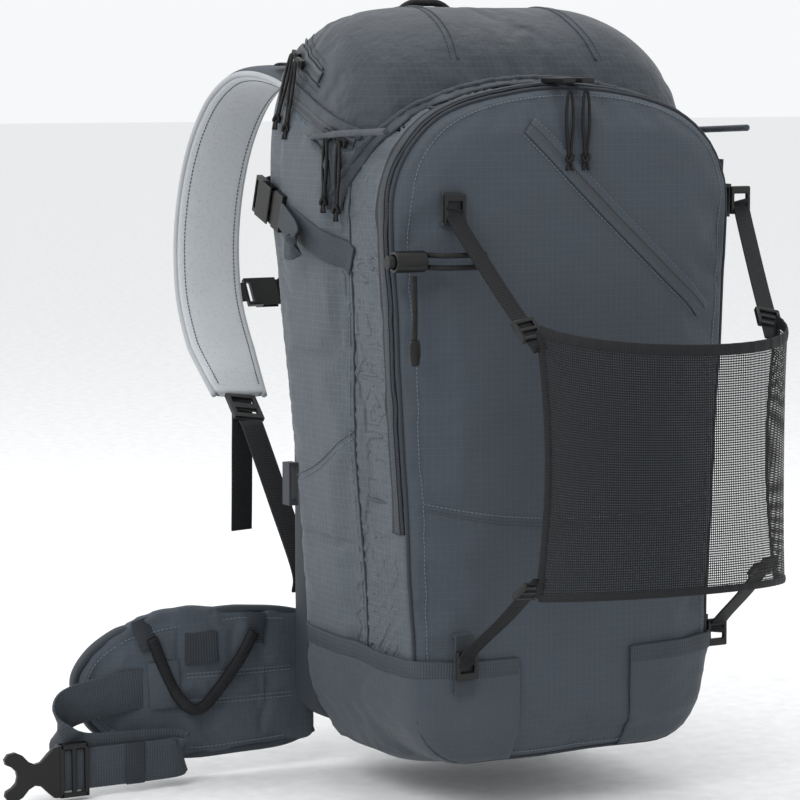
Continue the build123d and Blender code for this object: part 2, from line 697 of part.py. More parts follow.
GEAR_TOP_Z = FIN_LOW_Z + FIN_HEIGHT * 0.84
GEAR_GAP = GEAR_CORD / 2 + 3.4
GEAR_NEAR_END = Vector(-GEAR_NEAR, fin_face_y(GEAR_NEAR) - GEAR_GAP, GEAR_TOP_Z)
GEAR_FAR_END = Vector(-GEAR_FAR, fin_face_y(GEAR_FAR) - GEAR_GAP, GEAR_TOP_Z)


def gear_loop():
    """The stiffened loop on the fin for clips, standing just off the fin's face."""
    share = (GEAR_LOW - GEAR_NEAR) / (GEAR_FAR - GEAR_NEAR)
    low = GEAR_NEAR_END + (GEAR_FAR_END - GEAR_NEAR_END) * share + Vector(0, 0, -GEAR_DROP)
    return cord([tuple(GEAR_NEAR_END), tuple(low), tuple(GEAR_FAR_END)], 12, GEAR_CORD)


BELT_Z = FIN_LOW_Z + FIN_HEIGHT * 0.50
BELT_START = 122.0  # where the webbing leaves the fin's patch, out from the hinge
BELT_TURN = 198.0  # where it turns back
BELT_FOLD = 100.0  # where it folds again towards the buckle
BELT_END = 204.0
BELT_Y = fin_face_y(BELT_START) - 3.0
BELT_BACK_Y = BELT_Y - 20.0  # the returning run, in front of the fin
BELT_LAST_Y = BELT_Y - 27.0
BELT_LAST_Z = -8.0
BELT_TRAVEL = 40.0


def belt_webbing():
    """The belt's webbing: out over the fin, back in front of it, and out again to the buckle."""
    up = (0, 0, 1)
    high, low, last = BELT_Z - 10, BELT_LAST_Z + 8, BELT_LAST_Z
    start, turn, fold, end = -BELT_START, -BELT_TURN, -BELT_FOLD, -BELT_END
    runs = [
        straight_web((start, BELT_Y, BELT_Z), (turn, BELT_Y, high), BELT_WEB, up),
        block(turn - 3, turn + 1, BELT_BACK_Y - 1, BELT_Y + 1, low - 10, high + BELT_WEB / 2),
        straight_web((turn, BELT_BACK_Y, low), (fold, BELT_BACK_Y, low), BELT_WEB, up),
        block(fold - 1, fold + 3, BELT_LAST_Y - 1, BELT_BACK_Y + 1, last - 10, low + 10),
        straight_web((fold, BELT_LAST_Y, last), (end, BELT_LAST_Y, last), BELT_WEB, up),
    ]
    web = runs[0]
    for run in runs[1:]:
        web = web + run
    return web


BELT_FRAME_LENGTH = 24.0
BELT_FRAME_THICK = 10.0


def belt_buckle_frame():
    """Where a belt buckle sits: x outwards along the webbing's last run, z out of its face."""
    x = -BELT_END + BELT_FRAME_LENGTH / 2 - 2
    return Plane((x, BELT_LAST_Y, BELT_LAST_Z), x_dir=(-1, 0, 0), z_dir=(0, -1, 0)).location


def belt_frame():
    """The frame that both halves share: the webbing runs through its lower half."""
    wide = BELT_WEB + 10
    frame = Pos(0, 0, 2) * Box(BELT_FRAME_LENGTH, wide, BELT_FRAME_THICK)
    frame -= Box(BELT_FRAME_LENGTH + 2, BELT_WEB + 1.4, WEB_THICK + 1.2)
    return frame - Pos(0, 0, 5) * Box(8, BELT_WEB, 8)


def belt_plug():
    """The belt's plug half: the frame, a waist and two round-nosed prongs."""
    wide = BELT_WEB + 10
    z = 4.2
    waist = Pos(BELT_FRAME_LENGTH / 2 + 9, 0, z) * Box(20, wide * 0.42, 5)
    root = Pos(BELT_FRAME_LENGTH / 2 + 18, 0, z) * Box(8, wide * 0.74, 5)
    body = belt_frame() + waist + root
    for sign in (-1, 1):
        arm = Rot(0, 0, -sign * 14) * Box(20, wide * 0.22, 5)
        arm = Pos(BELT_FRAME_LENGTH / 2 + 29, sign * wide * 0.29, z) * arm
        nose = Pos(BELT_FRAME_LENGTH / 2 + 38, sign * wide * 0.235, z) * Cylinder(wide * 0.11, 5)
        body = body + arm + nose
    return body


SOCKET_DEPTH = 38.0


def belt_socket():
    """The belt's socket half: the frame and a shell that takes the prongs."""
    wide = BELT_WEB + 12
    start = BELT_FRAME_LENGTH / 2 - 1
    shell = Pos(start + SOCKET_DEPTH / 2, 0, 6.5) * Box(SOCKET_DEPTH, wide, 11)
    cavity = Pos(start + SOCKET_DEPTH / 2 + 3, 0, 6.5) * Box(SOCKET_DEPTH, wide - 5, 7)
    return belt_frame() + (shell - cavity)


# ---------------------------------------------------------------- pocket wings and small loops
def pocket_window(low, high):
    """The space round the bag's lower left, between two heights."""
    front = -BODY_FRONT * (GUSSET_REACH - 0.01)
    return block(-BODY_WIDTH, -BODY_WIDTH * 0.2, front, BODY_BACK * 0.52, low, high)


def sided(side, shape):
    """A piece drawn on the left, put on its side."""
    return shape if side < 0 else mirrored(shape)


def side_pocket(side):
    """The fabric wing round the bag's lower side."""
    return sided(side, on_skin(WEB_THICK, pocket_window(BASE_BAND * 0.4, POCKET_HEIGHT)))


def pocket_hem(side):
    """The webbing that binds the wing's top edge."""
    return sided(side, on_skin(WEB_THICK * 2, pocket_window(POCKET_HEIGHT, POCKET_HEIGHT + HEM_HEIGHT)))


def back_loops():
    """A small webbing loop on each rear seam."""
    seat = reach(0, BODY_BACK * 0.5, 210, (-1, 0, 0))
    loop = Box(8, 12, 34) - Pos(1, 0, 0) * Box(5, 14, 28)
    loop = Pos(seat.X - 7.2, seat.Y, seat.Z) * loop
    return Compound(loop.solids() + mirrored(loop).solids())


# ---------------------------------------------------------------- helmet holder
NET_TOP_Z = BODY_HEIGHT - NET_TOP_DROP
NET_LOW_Z = NET_TOP_Z - NET_HEIGHT
NET_EDGE_Y = FACE_Y - NET_STAND_OFF
NET_FRONT_Y = NET_EDGE_Y - NET_BOW
TAB_TOP_Z = BODY_HEIGHT - 146
TAB_LOW_Z = 92.0
HOOK_GAP = 0.6
HOOK_THICK = 4.0
HOOK_WIDTH = TAB_WEB + 2
# the middle of each webbing tab's front face: on the face at the left, beside the zip at the right
LEFT_TAB_X = {TAB_TOP_Z: -ARCH_HALF + 42, TAB_LOW_Z: -arch_side_x(TAB_LOW_Z) + FACE_INSET + 9}
RIGHT_TAB_OUT = ZIP_THICK + 1 + HOOK_WIDTH / 2
TABS = {
    "left_top": Vector(LEFT_TAB_X[TAB_TOP_Z], FACE_Y - TAB_STAND, TAB_TOP_Z),
    "left_low": Vector(LEFT_TAB_X[TAB_LOW_Z], FACE_Y - TAB_STAND, TAB_LOW_Z),
    "right_top": Vector(ARCH_HALF + RIGHT_TAB_OUT, ZIP_Y, TAB_TOP_Z),
    "right_low": Vector(arch_side_x(TAB_LOW_Z) + RIGHT_TAB_OUT, ZIP_Y, TAB_LOW_Z),
}


def face_tab(z, height):
    """A webbing loop that stands out of the front face."""
    bow = Box(TAB_WEB, TAB_STAND, height)
    bow -= Pos(0, 1, 0) * Box(TAB_WEB + 2, TAB_STAND - 2, height - 6)
    return Pos(LEFT_TAB_X[z], FACE_Y - TAB_STAND / 2, z) * bow


def upper_tab():
    """The loop for the holder's upper left hook."""
    return face_tab(TAB_TOP_Z, 26)


def axe_head_loop():
    """The loop low on the left that holds the axe's head and the holder's lower left hook."""
    return face_tab(TAB_LOW_Z, 46)


def right_tabs():
    """The two webbing ladders beside the right side of the zip, for the right hooks."""
    ladders = []
    y0 = ZIP_Y + ZIP_WIDTH + 2
    y1 = y0 + TAB_WEB
    out = ZIP_THICK + TAB_STAND
    for z, height in ((TAB_TOP_Z, 64), (TAB_LOW_Z, 40)):
        strip = block(0, WEB_THICK, y0, y1, -height / 2, height / 2)
        gate = block(0, out, y0, y1, -13, 13)
        gate -= block(WEB_THICK, out - WEB_THICK, y0 - 1, y1 + 1, -10, 10)
        side_x = min(arch_side_x(z), ARCH_HALF) + 0.3
        ladders.append(Pos(side_x, 0, z) * Rot(0, ARCH_LEAN, 0) * (strip + gate))
    return Compound([solid for ladder in ladders for solid in ladder.solids()])


def helmet_net():
    """The stretched net, bowed round the helmet, open above, below and towards the bag."""
    half, edge, front = NET_HALF_WIDTH, NET_EDGE_Y, NET_FRONT_Y
    inside, rim = half - NET_THICK, edge + 1
    outer = ThreePointArc((-half, edge), (0, front), (half, edge))
    inner = ThreePointArc((-inside, rim), (0, front + NET_THICK), (inside, rim))
    plan = make_face([outer, Line(outer @ 1, inner @ 1), inner, Line(outer @ 0, inner @ 0)])
    return Pos(NET_X, 0, NET_LOW_Z) * extrude(plan, amount=NET_HEIGHT)


def hook_face(corner):
    """The middle of a hook's plate, just in front of its tab."""
    return TABS[corner] + Vector(0, -HOOK_GAP - HOOK_THICK / 2, 0)


def holder_hook(corner):
    """The flat hook at a strap's end."""
    centre = hook_face(corner)
    plate = Box(HOOK_WIDTH, HOOK_THICK, 22) - Box(HOOK_WIDTH - 6, HOOK_THICK + 2, 10)
    return Pos(centre.X, centre.Y, centre.Z) * plate


def holder_strap(corner):
    """The strap from a corner of the net to its hook."""
    side = -1 if corner.startswith("left") else 1
    rise = 1 if corner.endswith("top") else -1
    net_z = NET_TOP_Z - 8 if rise > 0 else NET_LOW_Z + 8
    start = Vector(NET_X + side * (NET_HALF_WIDTH + 1.6), NET_EDGE_Y + 3, net_z)
    hook = hook_face(corner)
    end = hook + Vector(0, -HOOK_THICK / 2 - 3.0, -rise * 8)
    return straight_web(start, end, HOLDER_WEB, (1, 0, 0))


def holder_straps():
    """All four straps of the helmet holder."""
    return Compound([solid for corner in TABS for solid in holder_strap(corner).solids()])


def holder_hooks():
    """All four hooks of the helmet holder."""
    return Compound([solid for corner in TABS for solid in holder_hook(corner).solids()])


# ---------------------------------------------------------------- ice-axe holder and grab loop
AXE_LOOP_Z = BODY_HEIGHT - AXE_LOOP_DROP
LOCK_X = -ARCH_HALF + 4
LOCK_Y = FACE_Y - 2.0
BUTTON_RADIUS = 5.0
BUTTON_OUT = 5.0


def lock_bore(radius, length):
    """The button's bore or a piece that fits it, in from the lock's left end."""
    return Pos(-LOCK_LENGTH / 2 + length / 2, 0, 0) * Rot(0, 90, 0) * Cylinder(radius, length)


def axe_lock():
    """The cord lock's barrel, on the zip's edge, bored for its button."""
    barrel = Rot(0, 90, 0) * Cylinder(LOCK_RADIUS, LOCK_LENGTH)
    barrel -= lock_bore(BUTTON_RADIUS + RUN_CLEARANCE, LOCK_LENGTH * 0.6)
    return Pos(LOCK_X, LOCK_Y - LOCK_RADIUS, AXE_LOOP_Z) * barrel


def axe_button():
    """The spring button in the cord lock, standing out of its left end."""
    length = LOCK_LENGTH * 0.6 - BUTTON_TRAVEL - 1 + BUTTON_OUT
    button = Pos(-BUTTON_OUT, 0, 0) * lock_bore(BUTTON_RADIUS, length)
    return Pos(LOCK_X, LOCK_Y - LOCK_RADIUS, AXE_LOOP_Z) * button


def axe_bungee():
    """The two strands that go round the axe's shaft, from the lock to the face."""
    x0 = LOCK_X + LOCK_LENGTH / 2 + BUNGEE / 2 + 0.6
    x1 = x0 + 6 + AXE_SHAFT_GAP + BUNGEE
    y0, y1 = LOCK_Y - LOCK_RADIUS, FACE_Y - AXE_SHAFT_DEPTH - BUNGEE / 2
    strands = []
    for z in (AXE_LOOP_Z - 4.5, AXE_LOOP_Z + 4.5):
        points = [(x0, y0, z), (x0 + 5, y1, z), (x1, y1, z), (x1, FACE_Y - 0.2, z)]
        strands.append(cord(points, [4, 9], BUNGEE))
    return Compound(strands)


def axe_tail():
    """The cord's free end with its moulded pull, hanging from the lock."""
    x, y, z = LOCK_X + 5, LOCK_Y - LOCK_RADIUS, AXE_LOOP_Z - LOCK_RADIUS - 0.5
    tail = Pos(x, y, z - 26.4) * Cylinder(BUNGEE / 2, 48)
    grip = Pos(x, y, z - 59.4) * Box(9, 6, 20)
    return tail + grip


GRAB_BASE = reach(0, 0, LID_BACK_Z + 10, (0, 1, 0))
GRAB_Y = GRAB_BASE.Y + GRAB_CORD / 2 + 2.4
GRAB_PIVOT = Vector(0, GRAB_Y, GRAB_BASE.Z)


def grab_loop():
    """The cord loop for lifting and hanging the bag, sewn behind the lid's back edge."""
    half, z = GRAB_WIDTH / 2, GRAB_BASE.Z
    corners = [(-half, GRAB_Y, z), (-half * 0.86, GRAB_Y, z + GRAB_HEIGHT)]
    corners += [(half * 0.86, GRAB_Y, z + GRAB_HEIGHT), (half, GRAB_Y, z)]
    return cord(corners, half * 0.7, GRAB_CORD)


# ---------------------------------------------------------------- chest strap
CARRIER = (16.0, 24.0, 5.0)  # across the strap, along it, thick
RUN_TOP = Vector(0, *STRAP_RUNS[STERNUM_RUN])
RUN_FOOT = Vector(0, *STRAP_RUNS[STERNUM_RUN + 1])
STERNUM_DIR = (RUN_TOP - RUN_FOOT).normalized()  # up along the strap's outer face
STERNUM_FACE = Vector(1, 0, 0).cross(STERNUM_DIR * -1)  # out of the strap's outer face
STERNUM_TRAVEL = 20.0


def sternum_seat(side):
    """The middle of a carrier, on its strap's outer face."""
    share = (STRAP_ROOT_Z - (BODY_HEIGHT - STERNUM_DROP) + RUN_TOP.Z) / (RUN_TOP.Z - RUN_FOOT.Z)
    lift = STRAP_THICK / 2 + RUN_CLEARANCE * 2 + CARRIER[2] / 2
    middle = RUN_TOP + (RUN_FOOT - RUN_TOP) * share + STERNUM_FACE * lift
    plane = Plane(middle + Vector(-side * STERNUM_INSET, 0, 0), x_dir=(1, 0, 0), z_dir=STERNUM_FACE)
    return strap_frame(side) * plane.location


def sternum_carriers():
    """The moulded carriers that run up and down the shoulder straps."""
    pair = [sternum_seat(side) * Box(*CARRIER) for side in (-1, 1)]
    return Compound([solid for carrier in pair for solid in carrier.solids()])


STERNUM_X = abs(sternum_seat(1).position.X)
STERNUM_Y = sternum_seat(1).position.Y
STERNUM_Z = sternum_seat(1).position.Z
STERNUM_BUCKLE_X = -10.0


def sternum_frame():
    """The chest buckle's frame: prongs to the left, its face away from the chest."""
    return Plane((STERNUM_BUCKLE_X, STERNUM_Y, STERNUM_Z), x_dir=(-1, 0, 0), z_dir=STERNUM_FACE).location


def sternum_plug():
    """The plug of the chest strap."""
    return sternum_frame() * buckle_plug(STERNUM_WEB)


def sternum_socket():
    """The socket of the chest strap."""
    return sternum_frame() * buckle_socket(STERNUM_WEB)


def sternum_web():
    """The chest strap's webbing: the long run into the plug, and the short one behind the socket."""
    inner = CARRIER[0] / 2 + 2.0
    long_run = STERNUM_X - inner - STERNUM_BUCKLE_X + PLUG_HALF
    long_web = Pos(PLUG_HALF - long_run / 2, 0, PLUG_WEB_Z) * Box(long_run, STERNUM_WEB, WEB_THICK)
    short_run = STERNUM_X - inner + STERNUM_BUCKLE_X - SOCKET_END - 0.4
    short_web = Pos(SOCKET_END + 0.4 + short_run / 2, 0, 0) * Box(short_run, STERNUM_WEB, WEB_THICK)
    webs = [sternum_frame() * long_web, sternum_frame() * short_web]
    return Compound([solid for web in webs for solid in web.solids()])


# ---------------------------------------------------------------- export
ORIGIN = Vector(0, WEARER_Y, LUMBAR_Z)
SIDES = {"left": -1, "right": 1}


def group(*shapes):
    """Several separate pieces as one group."""
    return Compound([solid for shape in shapes for solid in shape.solids()])


def both_sides(make):
    """The left and the right of a pair, as one group."""
    return group(make(-1), make(1))


def build():
    """Every piece of the pack, by name, on the bench frame."""
    pieces = {
        "main_bag": main_bag(),
        "base_cup": base_cup(),
        "lid": lid(),
        "lid_zip": lid_zip(),
        "lid_pocket_zip": lid_pocket_zip(),
        "front_gusset": front_gusset(),
        "front_panel": front_panel(),
        "front_zip": front_zip(),
        "pocket_zip": pocket_zip(),
        "pocket_slider": pocket_slider(),
        "back_plate": back_plate(),
        "back_pads": back_pads(),
        "lumbar_pad": lumbar_pad(),
        "frame_rod": group(frame_rod(), rod_feet()),
        "frame_sheet": frame_sheet(),
        "helmet_net": helmet_net(),
        "holder_straps": holder_straps(),
        "holder_hooks": holder_hooks(),
        "axe_head_loop": axe_head_loop(),
        "webbing_tabs": group(upper_tab(), right_tabs(), back_loops()),
        "grab_loop": grab_loop(),
        "axe_lock": axe_lock(),
        "axe_button": axe_button(),
        "axe_bungee": axe_bungee(),
        "axe_tail": axe_tail(),
        "sternum_carriers": sternum_carriers(),
        "sternum_web": sternum_web(),
        "sternum_plug": sternum_plug(),
        "sternum_socket": sternum_socket(),
        "belt_plug": on_hip(-1, belt_buckle_frame() * belt_plug()),
        "belt_socket": on_hip(1, belt_buckle_frame() * belt_socket()),
        "ladder_locks": both_sides(adjuster),
        "strap_webbing": both_sides(strap_webbing),
        "load_lifters": both_sides(load_lifter),
        "side_sockets": both_sides(side_socket),
        "side_webbing": group(both_sides(side_webbing), both_sides(side_anchor)),
        "side_pockets": both_sides(side_pocket),
        "pocket_hems": both_sides(pocket_hem),
    }
    for name, side in SIDES.items():
        pieces[f"front_slider_{name}"] = front_slider(side)
        pieces[f"front_pull_{name}"] = front_pull(side)
        pieces[f"shoulder_strap_{name}"] = shoulder_strap(side)
        pieces[f"side_plug_{name}"] = side_plug(side)
        pieces[f"hip_fin_{name}"] = on_hip(side, fin())
        pieces[f"gear_loop_{name}"] = on_hip(side, gear_loop())
        pieces[f"belt_webbing_{name}"] = on_hip(side, belt_webbing())
    zips = {"main": (MAIN_ZIP_FRONT_Y, -1 - ZIP_WIDTH / 2, MAIN_ZIP_TRAVEL)}
    zips["lid"] = (LID_ZIP_FRONT_Y, 22 + ZIP_WIDTH / 2, LID_ZIP_TRAVEL)
    for zip_name, (front_y, offset, travel) in zips.items():
        for place, (slider, pull, _, _) in zip(("front", "rear"), side_pair(front_y, offset, *travel)):
            pieces[f"{zip_name}_slider_{place}"] = slider
            pieces[f"{zip_name}_pull_{place}"] = pull
    return pieces


def write(name, shape):
    """Moves a piece to the part's own frame and writes its file."""
    solids = [Pos(-ORIGIN.X, -ORIGIN.Y, -ORIGIN.Z) * solid for solid in shape.solids()]
    export_step(Compound(children=solids) if len(solids) > 1 else solids[0], f"parts/{name}.step")


if __name__ == "__main__":
    os.makedirs("parts", exist_ok=True)
    for piece, piece_shape in build().items():
        write(piece, piece_shape)
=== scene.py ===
"""Ski touring backpack: fabric, webbing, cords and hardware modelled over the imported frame."""
import math

import bmesh
import bpy
from mathutils import Matrix, Vector, noise
from mathutils.bvhtree import BVHTree


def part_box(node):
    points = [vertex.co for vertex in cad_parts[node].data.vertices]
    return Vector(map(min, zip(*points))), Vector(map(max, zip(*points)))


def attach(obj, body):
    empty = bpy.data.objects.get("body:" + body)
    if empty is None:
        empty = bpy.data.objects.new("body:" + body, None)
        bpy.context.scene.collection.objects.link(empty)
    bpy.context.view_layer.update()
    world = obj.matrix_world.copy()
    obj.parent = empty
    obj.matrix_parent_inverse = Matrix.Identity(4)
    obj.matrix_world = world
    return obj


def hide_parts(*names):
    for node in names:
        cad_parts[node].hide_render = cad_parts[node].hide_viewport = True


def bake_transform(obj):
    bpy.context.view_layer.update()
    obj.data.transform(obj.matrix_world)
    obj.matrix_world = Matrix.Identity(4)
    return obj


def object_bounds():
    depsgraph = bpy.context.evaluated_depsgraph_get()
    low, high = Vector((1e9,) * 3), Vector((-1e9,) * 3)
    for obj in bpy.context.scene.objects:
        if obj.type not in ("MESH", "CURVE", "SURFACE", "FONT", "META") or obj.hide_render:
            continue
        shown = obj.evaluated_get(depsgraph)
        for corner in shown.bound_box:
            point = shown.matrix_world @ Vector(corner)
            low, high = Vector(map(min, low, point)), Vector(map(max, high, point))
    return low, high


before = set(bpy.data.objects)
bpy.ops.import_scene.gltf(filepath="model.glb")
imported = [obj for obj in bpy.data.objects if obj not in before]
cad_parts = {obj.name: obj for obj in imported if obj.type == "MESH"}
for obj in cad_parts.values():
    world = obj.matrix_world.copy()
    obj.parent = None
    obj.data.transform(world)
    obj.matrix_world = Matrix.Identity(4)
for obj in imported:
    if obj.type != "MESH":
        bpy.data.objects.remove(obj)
CAD_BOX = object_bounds()

bl_info = {
    "name": "Ski touring backpack",
    "version": (1, 0, 0),
    "blender": (4, 5, 0),
    "location": "View3D > Sidebar > Ski backpack",
    "description": "Builds the sewn shell, harness, belt, straps and hardware of a ski touring backpack",
    "category": "Object",
}

MM = 0.001
BENCH_ZERO = Vector((0.0, -0.10988, -0.084))  # the middle of the bag's base, at the bench frame's zero
FACE_Y = -140.0  # bench depths of the compartment's face and of its zip, mm
ZIP_Y = -124.0
ARCH_CENTRE_Z = 224.0
ARCH_RADIUS = 300.0
ARCH_CORNER = 80.0
CORNER_X = 71.0
CORNER_Z = 432.2
ARCH_LEAN = math.radians(3.2)
ZIP_FOOT = 190.0
SPLIT_SLOPE = 0.34005
BASE_BAND = 26.0
SIDES = {"left": -1, "right": 1}


def bench(x, y, z):
    """A point of the bench frame, in mm, as a point of the row frame, in metres."""
    return Vector((x, y, z)) * MM + BENCH_ZERO


def to_bench(point):
    """The other way round: a point of the row frame in bench millimetres."""
    return (Vector(point) - BENCH_ZERO) / MM


def split_z(y):
    """Bench height of the lid's seam at depth y."""
    return 536.0 + (y - 84.6) * SPLIT_SLOPE


# ---------------------------------------------------------------- materials
def add(tree, kind, links=None, **settings):
    """A shader node of that kind: links maps its inputs to sockets or values, settings are its properties."""
    node = tree.nodes.new(kind)
    for name, value in settings.items():
        setattr(node, name, value)
    for key, value in (links or {}).items():
        socket = node.inputs[key]
        if isinstance(value, bpy.types.NodeSocket):
            tree.links.new(value, socket)
        else:
            socket.default_value = value
    return node


def calc(tree, operation, *values):
    """The result of one maths node."""
    node = tree.nodes.new("ShaderNodeMath")
    node.operation = operation
    for socket, value in zip(node.inputs, values):
        if isinstance(value, bpy.types.NodeSocket):
            tree.links.new(value, socket)
        else:
            socket.default_value = value
    return node.outputs[0]


def tone(tree, share, dark, light):
    """A colour between dark and light by share."""
    ramp = add(tree, "ShaderNodeMix", {0: share}, data_type="RGBA")
    for index, colour in ((6, dark), (7, light)):
        ramp.inputs[index].default_value = (*colour, 1.0)
    return ramp.outputs[2]


def scaled(colour, factor):
    """A colour made lighter or darker."""
    return tuple(min(1.0, channel * factor) for channel in colour)


def new_material(name, roughness=0.7, **shader):
    """A material with its shader: returns the material, its tree and the shader node."""
    material = bpy.data.materials.new(name)
    material.use_nodes = True
    tree = material.node_tree
    bsdf = tree.nodes["Principled BSDF"]
    bsdf.inputs["Roughness"].default_value = roughness
    for key, value in shader.items():
        bsdf.inputs[key.replace("_", " ")].default_value = value
    return material, tree, bsdf


def bump(tree, bsdf, heights):
    """Chains bumps onto the shader: heights is a list of (socket, strength, distance)."""
    normal = None
    for height, strength, distance in heights:
        links = {"Height": height, "Strength": strength, "Distance": distance}
        if normal is not None:
            links["Normal"] = normal
        normal = add(tree, "ShaderNodeBump", links).outputs[0]
    tree.links.new(normal, bsdf.inputs["Normal"])


def object_place(tree):
    """Object coordinates and their three parts."""
    place = tree.nodes.new("ShaderNodeTexCoord").outputs["Object"]
    parts = add(tree, "ShaderNodeSeparateXYZ", {0: place})
    return place, parts.outputs


def soft_noise(tree, place, scale, detail=3.0, roughness=0.5):
    """A noise over a place."""
    links = {"Vector": place, "Scale": scale, "Detail": detail, "Roughness": roughness}
    return add(tree, "ShaderNodeTexNoise", links).outputs[0]


def faded_grid(tree, pitch, width):
    """Fine crossing lines in object space, each faded out where the cloth faces along it."""
    _, parts = object_place(tree)
    facing = tree.nodes.new("ShaderNodeTexCoord").outputs["Normal"]
    facing = add(tree, "ShaderNodeSeparateXYZ", {0: facing}).outputs
    total = None
    for part, face in zip(parts, facing):
        wave = calc(tree, "PINGPONG", part, pitch / 2)
        line = add(
            tree,
            "ShaderNodeMapRange",
            {"Value": wave, "From Min": width * 0.4, "From Max": width, "To Min": 1.0, "To Max": 0.0},
        ).outputs[0]
        side_on = calc(tree, "SUBTRACT", 1.0, calc(tree, "ABSOLUTE", face))
        side_on = add(
            tree, "ShaderNodeMapRange", {"Value": side_on, "From Min": 0.12, "From Max": 0.5}
        ).outputs[0]
        line = calc(tree, "MULTIPLY", line, side_on)
        total = line if total is None else calc(tree, "MAXIMUM", total, line)
    return total


def cloth_material(name, colour, ripstop=0.0, sheen=0.06, roughness=0.72, crease=1.0):
    """Woven pack cloth: threads, ripstop lines, faint wrinkles and a worn tone."""
    material, tree, bsdf = new_material(name, roughness, Sheen_Weight=sheen, Specular_IOR_Level=0.3)
    place, _ = object_place(tree)
    threads = faded_grid(tree, 0.0011, 0.0004)
    worn = soft_noise(tree, place, 22.0, 4.0, 0.6)
    wrinkle = soft_noise(tree, place, 38.0, 3.0, 0.55)
    lines = faded_grid(tree, 0.0052, 0.00034)
    share = calc(tree, "MULTIPLY_ADD", worn, 0.55, calc(tree, "MULTIPLY", threads, 0.22))
    if ripstop:
        share = calc(tree, "ADD", share, calc(tree, "MULTIPLY", lines, ripstop))
    base = tone(tree, share, scaled(colour, 0.72), scaled(colour, 1.32))
    tree.links.new(base, bsdf.inputs["Base Color"])
    rough = calc(tree, "MULTIPLY_ADD", worn, 0.2, roughness - 0.12)
    tree.links.new(rough, bsdf.inputs["Roughness"])
    heights = [(wrinkle, 0.5 * crease, 0.0045), (threads, 0.30, 0.00022)]
    if ripstop:
        heights.append((lines, 0.5, 0.00022))
    bump(tree, bsdf, heights)
    return material


def web_material(name, colour, rib=0.0011, across=0.0017, roughness=0.62):
    """Woven webbing: ribs across and a fine warp along, read from the strap's own map in metres; the ribs
    carry painted shade in their grooves and a painted highlight on their crests, over a random worn tone.
    """
    material, tree, bsdf = new_material(name, roughness, Specular_IOR_Level=0.2)
    place = add(tree, "ShaderNodeUVMap", uv_map="strap").outputs[0]
    parts = add(tree, "ShaderNodeSeparateXYZ", {0: place}).outputs
    ribs = calc(tree, "PINGPONG", parts[1], rib)
    ribs = calc(tree, "DIVIDE", ribs, rib)
    warp = calc(tree, "DIVIDE", calc(tree, "PINGPONG", parts[0], across), across)
    object_at, _ = object_place(tree)
    worn = soft_noise(tree, object_at, 90.0)
    weave = calc(tree, "MULTIPLY", ribs, calc(tree, "MULTIPLY_ADD", warp, 0.5, 0.5))
    # painted shade in the ribs' grooves and painted highlight on their crests, mixed with a random worn tone
    share = calc(tree, "MULTIPLY_ADD", weave, 0.6, calc(tree, "MULTIPLY", worn, 0.35))
    base = tone(tree, share, scaled(colour, 0.6), scaled(colour, 1.45))
    tree.links.new(base, bsdf.inputs["Base Color"])
    bump(tree, bsdf, [(weave, 0.7, 0.0005)])
    return material


def mesh_material(name, colour, cell=0.0034):
    """Thick spacer mesh: rows of small round cells over a knitted ground, with painted shade in the cells'
    holes and a random worn tone.
    """
    material, tree, bsdf = new_material(name, 0.85, Sheen_Weight=0.25)
    place, _ = object_place(tree)
    cells = add(tree, "ShaderNodeTexVoronoi", {"Vector": place, "Scale": 1.0 / cell}).outputs["Distance"]
    hole = add(
        tree, "ShaderNodeMapRange", {"Value": cells, "From Min": 0.12, "From Max": 0.42}
    ).outputs[0]
    worn = soft_noise(tree, place, 30.0)
    # painted shade: darker in the holes of the cells, mixed with a random worn tone
    share = calc(tree, "MULTIPLY_ADD", hole, 0.7, calc(tree, "MULTIPLY", worn, 0.3))
    base = tone(tree, share, scaled(colour, 0.9), scaled(colour, 1.04))
    tree.links.new(base, bsdf.inputs["Base Color"])
    bump(tree, bsdf, [(hole, 0.3, 0.0005)])
    return material


def net_material(name, colour):
    """Open knitted net: fine holes along the sheet's own map, see-through in them."""
    material, tree, bsdf = new_material(name, 0.6, Specular_IOR_Level=0.15)
    place = add(tree, "ShaderNodeUVMap", uv_map="strap").outputs[0]
    parts = add(tree, "ShaderNodeSeparateXYZ", {0: place}).outputs
    pitch = 0.0016
    across = calc(tree, "DIVIDE", calc(tree, "PINGPONG", parts[0], pitch / 2), pitch / 2)
    along = calc(tree, "DIVIDE", calc(tree, "PINGPONG", parts[1], pitch * 0.6), pitch * 0.6)
    hole = calc(tree, "MULTIPLY", across, along)
    solid = add(
        tree,
        "ShaderNodeMapRange",
        {"Value": hole, "From Min": 0.3, "From Max": 0.48, "To Min": 1.0, "To Max": 0.0},
    ).outputs[0]
    tree.links.new(tone(tree, hole, scaled(colour, 1.4), scaled(colour, 0.7)), bsdf.inputs["Base Color"])
    tree.links.new(solid, bsdf.inputs["Alpha"])
    bump(tree, bsdf, [(hole, 0.4, 0.0004)])
    return material


def cord_material(name, colour, pitch=0.0024):
    """Braided cord: small raised cells of its cover, with painted shade in the hollows of the braid and a
    random worn tone.
    """
    material, tree, bsdf = new_material(name, 0.55, Specular_IOR_Level=0.2)
    place, _ = object_place(tree)
    braid = add(tree, "ShaderNodeTexVoronoi", {"Vector": place, "Scale": 1.0 / pitch}).outputs["Distance"]
    worn = soft_noise(tree, place, 120.0)
    # painted shade: darker in the braid's hollows, lighter on its ridges, mixed with a random worn tone
    share = calc(tree, "MULTIPLY_ADD", braid, 0.8, calc(tree, "MULTIPLY", worn, 0.3))
    base = tone(tree, share, scaled(colour, 0.6), scaled(colour, 1.7))
    tree.links.new(base, bsdf.inputs["Base Color"])
    bump(tree, bsdf, [(braid, 0.7, 0.0006)])
    return material


